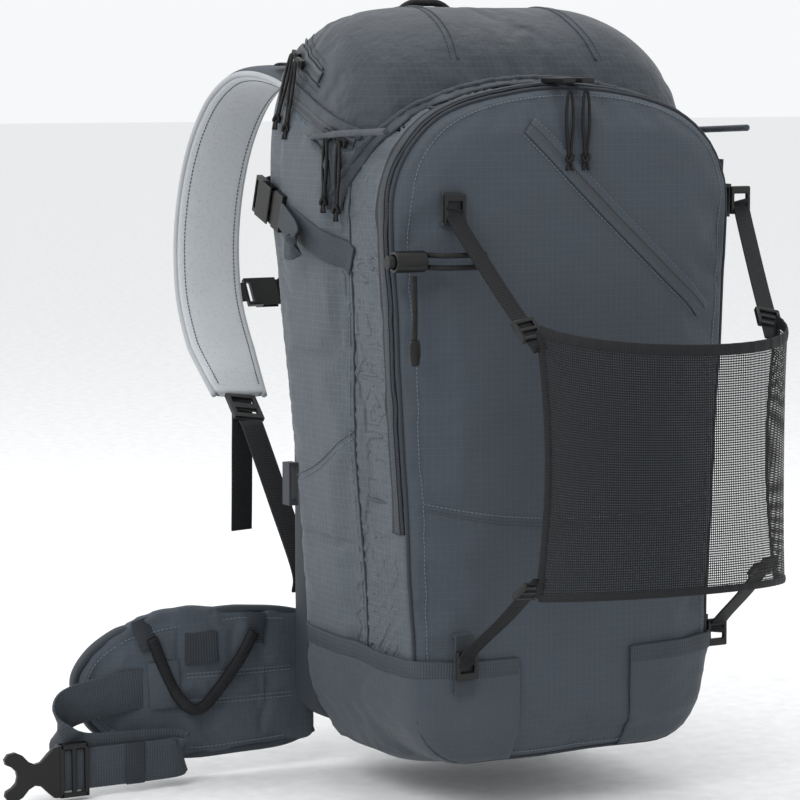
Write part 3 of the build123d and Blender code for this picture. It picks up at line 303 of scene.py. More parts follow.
def hard_material(name, colour, roughness=0.42, metal=0.0, grain=900.0):
    """Moulded plastic or painted metal with a fine grain and slight wear."""
    material, tree, bsdf = new_material(name, roughness, Metallic=metal, Specular_IOR_Level=0.3)
    place, _ = object_place(tree)
    fine = soft_noise(tree, place, grain, 2.0)
    worn = soft_noise(tree, place, 60.0, 4.0, 0.6)
    base = tone(tree, worn, scaled(colour, 0.8), scaled(colour, 1.3))
    tree.links.new(base, bsdf.inputs["Base Color"])
    rough = calc(tree, "MULTIPLY_ADD", worn, 0.25, roughness - 0.12)
    tree.links.new(rough, bsdf.inputs["Roughness"])
    bump(tree, bsdf, [(fine, 0.12, 0.0002)])
    return material


def zip_material(name, colour, pitch=0.0016):
    """Zip tape with its row of coil teeth down the middle."""
    material, tree, bsdf = new_material(name, 0.6)
    place = add(tree, "ShaderNodeUVMap", uv_map="strap").outputs[0]
    parts = add(tree, "ShaderNodeSeparateXYZ", {0: place}).outputs
    teeth = calc(tree, "DIVIDE", calc(tree, "PINGPONG", parts[1], pitch / 2), pitch / 2)
    centre = add(
        tree,
        "ShaderNodeMapRange",
        {"Value": calc(tree, "ABSOLUTE", parts[0]), "From Min": 0.0015, "From Max": 0.0021, "To Min": 1.0,
         "To Max": 0.0},
    ).outputs[0]
    coil = calc(tree, "MULTIPLY", teeth, centre)
    base = tone(tree, calc(tree, "MULTIPLY_ADD", coil, -0.7, 0.75), scaled(colour, 0.35),
                scaled(colour, 1.15))
    tree.links.new(base, bsdf.inputs["Base Color"])
    bump(tree, bsdf, [(coil, 0.8, 0.0006)])
    return material


MATERIALS = {}


def make_materials(colours):
    """Every finish of the pack, by its maker's name."""
    light, mid, dark = tuple(colours.side_cloth), tuple(colours.front_cloth), tuple(colours.lid_cloth)
    MATERIALS.update(
        side_cloth=cloth_material("side cloth", light, ripstop=0.7, sheen=0.08),
        front_cloth=cloth_material("front cloth", mid, ripstop=0.35, sheen=0.05, roughness=0.78),
        lid_cloth=cloth_material("lid cloth", dark, ripstop=0.7, sheen=0.08, roughness=0.55, crease=1.5),
        base_cloth=cloth_material("base cloth", tuple(colours.base_cloth), ripstop=0.2, roughness=0.66),
        back_cloth=cloth_material("back cloth", dark, sheen=0.05, roughness=0.8, crease=0.4),
        lining=cloth_material("lining", (0.16, 0.17, 0.18), roughness=0.6),
        piping=cloth_material("piping", scaled(dark, 0.8), roughness=0.75, crease=0.3),
        spacer_mesh=mesh_material("spacer mesh", tuple(colours.strap_mesh)),
        back_mesh=mesh_material("back mesh", scaled(mid, 1.2)),
        net=net_material("holder net", (0.007, 0.007, 0.0075)),
        grey_web=web_material("grey webbing", tuple(colours.grey_webbing)),
        dark_web=web_material("dark webbing", scaled(tuple(colours.grey_webbing), 0.62)),
        black_web=web_material("black webbing", (0.010, 0.0105, 0.0115)),
        cord=cord_material("cord", (0.007, 0.007, 0.0075)),
        plastic=hard_material("moulded plastic", (0.006, 0.006, 0.0065), 0.34),
        metal=hard_material("painted metal", (0.02, 0.02, 0.021), 0.35, 0.6, 400.0),
        rod=hard_material("drawn aluminium", (0.62, 0.63, 0.65), 0.3, 1.0, 300.0),
        sheet=hard_material("frame plastic", (0.05, 0.05, 0.055), 0.5),
        zip_tape=zip_material("zip tape", scaled(light, 0.8)),
        thread=hard_material("sewing thread", scaled(light, 1.7), 0.7, 0.0, 600.0),
        dark_thread=hard_material("dark thread", scaled(light, 0.9), 0.7, 0.0, 600.0),
        dark_binding=cloth_material("fin binding", scaled(mid, 0.62), roughness=0.8, crease=0.4),
        tab_cloth=cloth_material("tab webbing", scaled(tuple(colours.grey_webbing), 0.7), roughness=0.7,
                                 crease=0.5),
        strap_edge=cloth_material("strap binding", scaled(tuple(colours.strap_mesh), 0.8), roughness=0.8,
                                  crease=0.4),
        chest_webbing=cloth_material("chest webbing", (0.010, 0.0105, 0.0115), roughness=0.7, crease=0.4),
        floor=hard_material("pale floor", (0.93, 0.935, 0.94), 0.9),
    )


# ---------------------------------------------------------------- making pieces
def piece(bm, name, finishes, body, replaces=(), smooth=True, weld=True):
    """Turns a bmesh into a finished piece that rides on its body."""
    if weld:
        bmesh.ops.remove_doubles(bm, verts=bm.verts, dist=1e-6)
    mesh = bpy.data.meshes.new(name)
    bm.to_mesh(mesh)
    bm.free()
    made = bpy.data.objects.new(name, mesh)
    bpy.context.scene.collection.objects.link(made)
    finishes = [finishes] if isinstance(finishes, str) else finishes
    for finish in finishes:
        mesh.materials.append(MATERIALS[finish])
    if smooth:
        mesh.shade_smooth()
    if body:
        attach(made, body)
    if replaces:
        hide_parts(*replaces)
    return made


def modifier(made, kind, **settings):
    """A live modifier, with the same levels in the view and in the render."""
    added = made.modifiers.new(kind.title(), kind)
    for key, value in settings.items():
        setattr(added, key, value)
    if kind == "SUBSURF":
        added.render_levels = added.levels
    return added


def applied(made):
    """Puts a piece's modifiers into its mesh."""
    bpy.context.view_layer.update()
    graph = bpy.context.evaluated_depsgraph_get()
    mesh = bpy.data.meshes.new_from_object(made.evaluated_get(graph), depsgraph=graph)
    made.modifiers.clear()
    old, made.data = made.data, mesh
    bpy.data.meshes.remove(old)
    return made


def smooth_line(points, count=24, closed=False):
    """A smooth curve through the points, sampled count times a run."""
    points = [Vector(point) for point in points]
    last = len(points)
    sampled = []
    for i in range(last if closed else last - 1):
        a, b = points[i], points[(i + 1) % last]
        before = points[(i - 1) % last] if closed or i else a * 2 - b
        after = points[(i + 2) % last] if closed or i + 2 < last else b * 2 - a
        for step in range(count):
            t = step / count
            sampled.append(
                0.5 * (2 * a + (b - before) * t + (2 * before - 5 * a + 4 * b - after) * t * t
                       + (3 * a - before - 3 * b + after) * t**3)
            )
    if not closed:
        sampled.append(points[-1])
    return sampled


def evenly(points, pitch):
    """The same line with its points a pitch apart."""
    lengths = [0.0]
    for a, b in zip(points, points[1:]):
        lengths.append(lengths[-1] + (b - a).length)
    count = max(1, round(lengths[-1] / pitch))
    even, at = [], 0
    for step in range(count + 1):
        goal = lengths[-1] * step / count
        while at < len(points) - 2 and lengths[at + 1] < goal:
            at += 1
        span = max(1e-9, lengths[at + 1] - lengths[at])
        even.append(points[at].lerp(points[at + 1], (goal - lengths[at]) / span))
    return even


def strip_bmesh(path, across, width, crown=0.0, columns=2):
    """A grid laid along a path: across gives its sideways direction at each point, width its width."""
    rows = len(path)
    bm = bmesh.new()
    bmesh.ops.create_grid(bm, x_segments=columns, y_segments=rows - 1, size=1.0)
    layer = bm.loops.layers.uv.new("strap")
    lengths = [0.0]
    for a, b in zip(path, path[1:]):
        lengths.append(lengths[-1] + (b - a).length)
    places = {}
    for vert in bm.verts:
        u = vert.co.x
        row = round((vert.co.y + 1) / 2 * (rows - 1))
        places[vert.index] = (u, row)
    for vert in bm.verts:
        u, row = places[vert.index]
        side = across[row] if isinstance(across, list) else across
        wide = width(row / (rows - 1)) if callable(width) else width
        ahead = path[min(row + 1, rows - 1)] - path[max(row - 1, 0)]
        side = (side - ahead * (side.dot(ahead) / max(ahead.length_squared, 1e-12))).normalized()
        out = ahead.cross(side).normalized()
        vert.co = path[row] + side * (u * wide / 2) + out * (crown * (1 - u * u))
    for face in bm.faces:
        for loop in face.loops:
            u, row = places[loop.vert.index]
            wide = width(row / (rows - 1)) if callable(width) else width
            loop[layer].uv = (u * wide / 2, lengths[row])
    return bm


def strap(name, points, across, width, thick, finish, body, replaces=(), count=16, pitch=0.003,
          crown=0.0,
          columns=2, smooth_path=True):
    """A flat strap of real thickness along a smooth path; across is a direction or a list of them."""
    path = evenly(smooth_line(points, count) if smooth_path else [Vector(p) for p in points], pitch)
    if isinstance(across, list):
        last = len(across) - 1
        spread = []
        for row in range(len(path)):
            at = row / (len(path) - 1) * last
            low = min(int(at), last - 1)
            spread.append(Vector(across[low]).lerp(Vector(across[low + 1]), at - low).normalized())
        across = spread
    else:
        across = Vector(across)
    bm = strip_bmesh(path, across, width, crown, columns)
    made = piece(bm, name, finish, body, replaces)
    modifier(made, "SOLIDIFY", thickness=thick, offset=0.0)
    modifier(made, "BEVEL", width=thick * 0.3, segments=2, limit_method="ANGLE")
    return made


def tube_bmesh(path, radius, sides=10, closed=False):
    """A round tube swept along a path by extruding a circle."""
    bm = bmesh.new()
    count = len(path)
    tangents = []
    for i in range(count):
        before, after = path[i - 1 if closed else max(i - 1,
                0)], path[(i + 1) % count if closed else min(i + 1, count - 1)]
        tangents.append((after - before).normalized())
    up = tangents[0].orthogonal().normalized()
    rings = []
    for i, (point, tangent) in enumerate(zip(path, tangents)):
        up = (up - tangent * up.dot(tangent)).normalized()
        turn = Matrix((tangent.cross(up).normalized(), up, tangent)).transposed().to_4x4()
        turn.translation = point
        wide = radius(i / max(1, count - 1)) if callable(radius) else radius
        cap = not closed and i in (0, count - 1)
        ring = bmesh.ops.create_circle(bm, cap_ends=cap, segments=sides, radius=wide, matrix=turn)["verts"]
        rings.append(ring)
    pairs = list(zip(rings, rings[1:])) + ([(rings[-1], rings[0])] if closed else [])
    for low, high in pairs:
        for k in range(sides):
            bm.faces.new((low[k], low[(k + 1) % sides], high[(k + 1) % sides], high[k]))
    bmesh.ops.recalc_face_normals(bm, faces=bm.faces)
    return bm


def tube(name, points, radius, finish, body, replaces=(), count=10, sides=10, closed=False,
         pitch=0.0015):
    """A cord or piping along a smooth line."""
    line = smooth_line(points, count, closed)
    if not closed:
        line = evenly(line, pitch)
    return piece(tube_bmesh(line, radius, sides, closed), name, finish, body, replaces)


def rounded(node, name, finish, body, width=0.7, others=()):
    """A hard piece with its edges rounded: a merged copy of a CAD node."""
    bm = bmesh.new()
    for source in (node, *others):
        bm.from_mesh(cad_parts[source].data)
    bmesh.ops.remove_doubles(bm, verts=bm.verts, dist=1e-6)
    bmesh.ops.dissolve_limit(bm, angle_limit=math.radians(2), verts=bm.verts, edges=bm.edges)
    made = piece(bm, name, finish, body, (node, *others), weld=False)
    modifier(made, "BEVEL", width=width * MM, segments=3, limit_method="ANGLE", angle_limit=math.radians(30),
             harden_normals=False)
    modifier(made, "WEIGHTED_NORMAL")
    return made


def stitches(name, lines, body, finish="thread", pitch=0.0034, length=0.0022, thick=0.00055):
    """Rows of stitches: lines is a list of (points, normals) on the cloth, one short dash a pitch."""
    bm = bmesh.new()
    for points, normals in lines:
        path = evenly(points, pitch)
        last = len(path) - 1
        for i in range(last):
            at = i / max(1, last) * (len(normals) - 1)
            normal = Vector(normals[round(at)])
            ahead = (path[i + 1] - path[i]).normalized()
            side = normal.cross(ahead).normalized()
            turn = Matrix((ahead, side, ahead.cross(side))).transposed().to_4x4()
            turn.translation = path[i].lerp(path[i + 1], 0.5) + normal * thick * 0.3
            size = Matrix.Diagonal((length, thick * 1.3, thick, 1.0))
            bmesh.ops.create_cube(bm, size=1.0, matrix=turn @ size)
    return piece(bm, name, finish, body, weld=False, smooth=False)


# ---------------------------------------------------------------- the sewn shell
def arch_side_x(z, grow=0.0):
    """How far out the compartment's side is at bench height z, below its corner."""
    corner = ARCH_CORNER + grow
    end_x, end_z = CORNER_X + corner * math.cos(ARCH_LEAN), CORNER_Z - corner * math.sin(ARCH_LEAN)
    return end_x - (end_z - z) * math.tan(ARCH_LEAN)


def arch_points(grow, foot, y, pitch=4.0):
    """The compartment's arch at depth y, from its left foot over the top to its right foot."""
    corner, radius = ARCH_CORNER + grow, ARCH_RADIUS + grow
    lean = math.asin(CORNER_X / (ARCH_RADIUS - ARCH_CORNER))
    right = [(radius * math.sin(lean * t / 6),
              ARCH_CENTRE_Z + radius * math.cos(lean * t / 6)) for t in range(6)]
    turn = math.pi / 2 - lean + ARCH_LEAN
    for t in range(9):
        angle = math.pi / 2 - lean - turn * t / 8
        right.append((CORNER_X + corner * math.cos(angle), CORNER_Z + corner * math.sin(angle)))
    end_x, end_z = right[-1]
    runs = max(1, int((end_z - foot) / 12))
    for t in range(1, runs + 1):
        z = end_z + (foot - end_z) * t / runs
        right.append((end_x - (end_z - z) * math.tan(ARCH_LEAN), z))
    left = [(-x, z) for x, z in reversed(right[1:])]
    return evenly([bench(x, y, z) for x, z in left + right], pitch * MM)


def in_arch(point, grow=0.0):
    """Whether a bench point is inside the compartment's arch, seen from the front."""
    x, _, z = point
    x = abs(x)
    if z < CORNER_Z:
        return x < arch_side_x(z, grow)
    if x > CORNER_X:
        lean = math.asin(CORNER_X / (ARCH_RADIUS - ARCH_CORNER))
        if math.atan2(x - CORNER_X, z - CORNER_Z) > lean:
            return math.hypot(x - CORNER_X, z - CORNER_Z) < ARCH_CORNER + grow
    return math.hypot(x, z - ARCH_CENTRE_Z) < ARCH_RADIUS + grow


def outer_skin(nodes):
    """The outward faces of some CAD nodes, as one bmesh."""
    bm = bmesh.new()
    for name in nodes:
        bm.from_mesh(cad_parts[name].data)
    bmesh.ops.remove_doubles(bm, verts=bm.verts, dist=1e-6)
    tree = BVHTree.FromBMesh(bm)
    hidden = []
    for face in bm.faces:
        start = face.calc_center_median() + face.normal * 0.0002
        if tree.ray_cast(start, face.normal)[0] is not None:
            hidden.append(face)
    bmesh.ops.delete(bm, geom=hidden, context="FACES")
    return bm


def remeshed(bm, voxel, rounds=4):
    """The same closed form in even quads, smoothed a little."""
    mesh = bpy.data.meshes.new("form")
    bm.to_mesh(mesh)
    bm.free()
    form = bpy.data.objects.new("form", mesh)
    bpy.context.scene.collection.objects.link(form)
    modifier(form, "REMESH", mode="VOXEL", voxel_size=voxel)
    applied(form)
    even = bmesh.new()
    even.from_mesh(form.data)
    drop = form.data
    bpy.data.objects.remove(form)
    bpy.data.meshes.remove(drop)
    for _ in range(rounds):
        bmesh.ops.smooth_vert(even, verts=even.verts, factor=0.5, use_axis_x=True, use_axis_y=True,
                              use_axis_z=True)
    return even


def largest_island(bm):
    """Keeps only the connected part with the most vertices."""
    left, islands = set(bm.verts), []
    while left:
        grown, edge = set(), [left.pop()]
        while edge:
            vert = edge.pop()
            grown.add(vert)
            for link in vert.link_edges:
                other = link.other_vert(vert)
                if other in left:
                    left.discard(other)
                    edge.append(other)
        islands.append(grown)
    islands.sort(key=len, reverse=True)
    spare = [vert for island in islands[1:] for vert in island]
    bmesh.ops.delete(bm, geom=spare, context="VERTS")
    return bm


def filled(bm, hold, cap, pressure=4.0, spare=0.02, frames=20, stiffness=12.0):
    """Swells a closed bmesh as cloth over its filling: hold(point, normal) is 1 where it is sewn down."""
    mesh = bpy.data.meshes.new("cloth")
    bm.to_mesh(mesh)
    form = bpy.data.objects.new("cloth", mesh)
    bpy.context.scene.collection.objects.link(form)
    group = form.vertex_groups.new(name="held")
    for vert in mesh.vertices:
        group.add([vert.index], min(1.0, max(0.0, hold(to_bench(vert.co), vert.normal))), "REPLACE")
    cloth = form.modifiers.new("cloth", "CLOTH")
    settings = cloth.settings
    settings.quality = 5
    settings.mass = 0.2
    settings.tension_stiffness = settings.compression_stiffness = stiffness
    settings.shear_stiffness = stiffness * 0.6
    settings.bending_stiffness = 0.12
    settings.use_pressure = True
    settings.uniform_pressure_force = pressure
    settings.shrink_min = -spare
    settings.vertex_group_mass = "held"
    settings.effector_weights.gravity = 0.0
    cloth.collision_settings.use_collision = False
    cloth.point_cache.frame_start, cloth.point_cache.frame_end = 1, frames
    for frame_number in range(1, frames + 1):
        bpy.context.scene.frame_set(frame_number)
    graph = bpy.context.evaluated_depsgraph_get()
    swollen = [vert.co.copy() for vert in form.evaluated_get(graph).data.vertices]
    bm.verts.ensure_lookup_table()
    for vert, goal in zip(bm.verts, swollen):
        move = goal - vert.co
        if move.length > cap * MM:
            move *= cap * MM / move.length
        vert.co += move
    bpy.context.scene.frame_set(1)
    bpy.data.objects.remove(form)
    bpy.data.meshes.remove(mesh)
    return bm


def cut_away(bm, place, normal, keep_front):
    """Cuts a bmesh by a plane and keeps one side; keep_front is None where both stay."""
    geom = bm.verts[:] + bm.edges[:] + bm.faces[:]
    bmesh.ops.bisect_plane(
        bm, geom=geom, dist=1e-7, plane_co=place, plane_no=normal,
        clear_outer=keep_front is False, clear_inner=keep_front is True,
    )
    return bm


SKIN = {}
SPLIT_NORMAL = Vector((0.0, -SPLIT_SLOPE, 1.0)).normalized()
SPLIT_POINT = bench(0, 0, split_z(0))


def skin_hold(point, normal):
    """How firmly the shell is held: along its seams, over its back board and round the compartment."""
    x, y, z = point
    seam = abs((Vector((0.0, y, z)) - Vector((0.0, 0.0, split_z(0)))).dot(SPLIT_NORMAL))
    if y < -60 and in_arch((x, y, z), -3.0):
        seam = 99.0
    held = max(0.0, 1 - seam / 10)
    held = max(held, 1 - abs(z - BASE_BAND) / 8, 1 - max(0.0, z) / 10)
    if y > 40:
        held = max(held, min(1.0, (y - 40) / 25))
    if y > -118 and y < -45 and in_arch((x, y, z), 4.0) and not in_arch((x, y, z), -8.0):
        held = max(held, 0.25)
    if abs(y - ZIP_Y) < 7:
        held = 1.0
    if z > 560:
        held = max(held, 0.0)
    return held


def creased(bm):
    """Pulls the cloth into soft creases along its loaded lines."""
    for vert in bm.verts:
        x, y, z = to_bench(vert.co)
        push = 0.0
        low = math.exp(-((z - 70) / 55) ** 2)
        push += 1.3 * low * noise.noise(Vector((x * 0.012 + z * 0.02, y * 0.03, z * 0.045)))
        edge = math.exp(-((abs(z - split_z(y)) - 14) / 14) ** 2)
        push += 1.2 * edge * noise.noise(Vector((x * 0.035, y * 0.05, z * 0.012)) + Vector((7, 3, 1)))
        if y < -50 and z > 470 and not in_arch((x, y, z), 0.0):
            gather = math.exp(-max(0.0, math.hypot(x, z - ARCH_CENTRE_Z) - ARCH_RADIUS - 2) / 16)
            push += 1.9 * gather * noise.noise(Vector((x * 0.085, 0.0, z * 0.01)))
        push += 1.0 * noise.noise(Vector((x, y, z)) * 0.018)
        vert.co += vert.normal * push * MM
    return bm


def shell_form():
    """The whole outside of the bag and its compartment as one swollen closed form."""
    nodes = ("main_bag", "lid", "base_cup", "front_gusset", "front_panel")
    bm = largest_island(remeshed(outer_skin(nodes), 0.0045))
    bmesh.ops.recalc_face_normals(bm, faces=bm.faces)
    bm = filled(bm, skin_hold, cap=5.0, pressure=2.5, spare=0.025)
    bm.normal_update()
    return creased(bm)


def shell_part(name, finish, replaces, body, keep, finer=True):
    """Cuts one part out of the shell form and gives it a wall and a lining."""
    bm = SKIN["form"].copy()
    keep(bm)
    made = piece(bm, name, [finish, "lining"], body, replaces)
    if finer:
        modifier(made, "SUBSURF", levels=1)
    modifier(made, "SOLIDIFY", thickness=2.0 * MM, offset=-1.0, material_offset=1, material_offset_rim=0)
    return made


def arch_cuts(bm, grow):
    """Cuts the mesh along the arch, so that it can be parted there."""
    points = arch_points(grow, 4.0, FACE_Y)
    every = points[::6] + [points[-1]]
    for a, b in zip(every, every[1:]):
        normal = (b - a).cross(Vector((0, 1, 0))).normalized()
        near = [f for f in bm.faces if to_bench(f.calc_center_median()).y < -30
                and min((f.calc_center_median() - a).xz.length,
                        (f.calc_center_median() - b).xz.length) < 0.04]
        geom = list({v for f in near for v in f.verts}) + list({e for f in near for e in f.edges}) + near
        bmesh.ops.bisect_plane(bm, geom=geom, dist=1e-7, plane_co=a, plane_no=normal)


def keep_tub(bm):
    """The sides and back, from the base cup to the lid's seam."""
    arch_cuts(bm, 0.5)
    cut_away(bm, bench(0, 0, BASE_BAND), Vector((0, 0, 1)), True)
    cut_away(bm, SPLIT_POINT, SPLIT_NORMAL, None)
    drop = []
    for face in bm.faces:
        middle = face.calc_center_median()
        inside = in_arch(to_bench(middle), 0.5) and to_bench(middle).y < -40
        if inside or (middle - SPLIT_POINT).dot(SPLIT_NORMAL) > 0:
            drop.append(face)
    bmesh.ops.delete(bm, geom=drop, context="FACES")


def keep_lid(bm):
    """The lid above its seam, outside the compartment's arch."""
    arch_cuts(bm, 0.9)
    cut_away(bm, SPLIT_POINT + SPLIT_NORMAL * 0.4 * MM, SPLIT_NORMAL, True)
    drop = [f for f in bm.faces if in_arch(to_bench(f.calc_center_median()), 0.9)
            and to_bench(f.calc_center_median()).y < -40]
    bmesh.ops.delete(bm, geom=drop, context="FACES")


def keep_base(bm):
    """The base cup below its seam, behind the compartment."""
    arch_cuts(bm, 0.5)
    cut_away(bm, bench(0, 0, BASE_BAND), Vector((0, 0, 1)), False)
    drop = [f for f in bm.faces if in_arch(to_bench(f.calc_center_median()), 0.5)
            and to_bench(f.calc_center_median()).y < -40]
    bmesh.ops.delete(bm, geom=drop, context="FACES")


def compartment_faces(bm):
    """The faces of the front compartment."""
    return [f for f in bm.faces if in_arch(to_bench(f.calc_center_median()), 0.5)
            and to_bench(f.calc_center_median()).y < -40]


def keep_gusset(bm):
    """The compartment's side wall, behind its zip."""
    arch_cuts(bm, 0.5)
    cut_away(bm, bench(0, ZIP_Y, 0), Vector((0, 1, 0)), True)
    stay = set(compartment_faces(bm))
    bmesh.ops.delete(bm, geom=[f for f in bm.faces if f not in stay], context="FACES")


def keep_panel(bm):
    """The compartment's face, in front of its zip."""
    cut_away(bm, bench(0, ZIP_Y, 0), Vector((0, 1, 0)), False)
    stay = set(compartment_faces(bm))
    bmesh.ops.delete(bm, geom=[f for f in bm.faces if f not in stay], context="FACES")


def build_shell():
    """All the sewn panels of the bag."""
    SKIN["form"] = shell_form()
    SKIN["tree"] = BVHTree.FromBMesh(SKIN["form"])
    shell_part("tub", "side_cloth", ("main_bag",), "bag", keep_tub, finer=False)
    shell_part("lid_shell", "lid_cloth", ("lid",), "lid", keep_lid)
    shell_part("base_shell", "base_cloth", ("base_cup",), "bag", keep_base)
    shell_part("compartment_gusset", "side_cloth", ("front_gusset",), "bag", keep_gusset)
    shell_part("compartment_panel", "front_cloth", ("front_panel",), "bag", keep_panel)


# ---------------------------------------------------------------- lines on the skin
def skin_at(point, direction, lift=0.0):
    """Where a ray from well outside meets the shell, lifted off it, with the shell's normal there."""
    direction = Vector(direction).normalized()
    hit, normal, _, _ = SKIN["tree"].ray_cast(Vector(point) - direction * 0.4, direction)
    if hit is None:
        return Vector(point), -direction
    return hit + normal * lift * MM, normal


def eased(items, rounds=3):
    """A list of vectors averaged with their neighbours."""
    for _ in range(rounds):
        middle = [(a + b * 2 + c) / 4 for a, b, c in zip(items, items[1:], items[2:])]
        items = [items[0]] + middle + [items[-1]]
    return items


def skin_line(points, direction, lift=1.0, pitch=3.0, rounds=3):
    """A bench line projected onto the shell along a direction: its points and normals."""
    line = evenly(smooth_line([bench(*p) for p in points], 12), pitch * MM)
    direct = direction if callable(direction) else (lambda _: direction)
    hits = [skin_at(p, direct(to_bench(p)), lift) for p in line]
    return eased([h for h, _ in hits], rounds), eased([n for _, n in hits], rounds)


def skin_strap(name, line, width, thick, finish, body, replaces=(), crown=0.0, columns=4):
    """A tape or strap lying along a projected line."""
    points, normals = line
    across = []
    for i, normal in enumerate(normals):
        ahead = points[min(i + 1, len(points) - 1)] - points[max(i - 1, 0)]
        across.append(normal.cross(ahead).normalized())
    bm = strip_bmesh(points, across, width, crown, columns)
    made = piece(bm, name, finish, body, replaces)
    modifier(made, "SOLIDIFY", thickness=thick, offset=0.0)
    return made


def skin_ring(y, turns=180, lift=0.5):
    """A closed line round the compartment at depth y."""
    points, normals = [], []
    centre = bench(0, y, 250)
    for k in range(turns):
        angle = 2 * math.pi * k / turns
        direction = -Vector((math.cos(angle), 0.0, math.sin(angle)))
        hit, normal = skin_at(centre, direction, lift)
        points.append(hit)
        normals.append(normal)
    return points, normals


def arch_line(grow, foot, y, lift, direction=None, pitch=3.0):
    """The arch projected onto the shell: towards its own middle, or along a direction."""
    line = arch_points(grow, foot, y, pitch)
    points, normals = [], []
    for i, point in enumerate(line):
        ahead = line[min(i + 1, len(line) - 1)] - line[max(i - 1, 0)]
        inward = direction or Vector((0, -1, 0)).cross(ahead).normalized()
        if direction is None and inward.dot(bench(0, y, 300) - point) < 0:
            inward = -inward
        hit, normal = skin_at(point, inward, lift)
        if (hit - point).xz.length > 0.02 and direction is None:
            hit, normal = point, -inward
        points.append(hit)
        normals.append(normal)
    return eased(points, 4), eased(normals, 4)


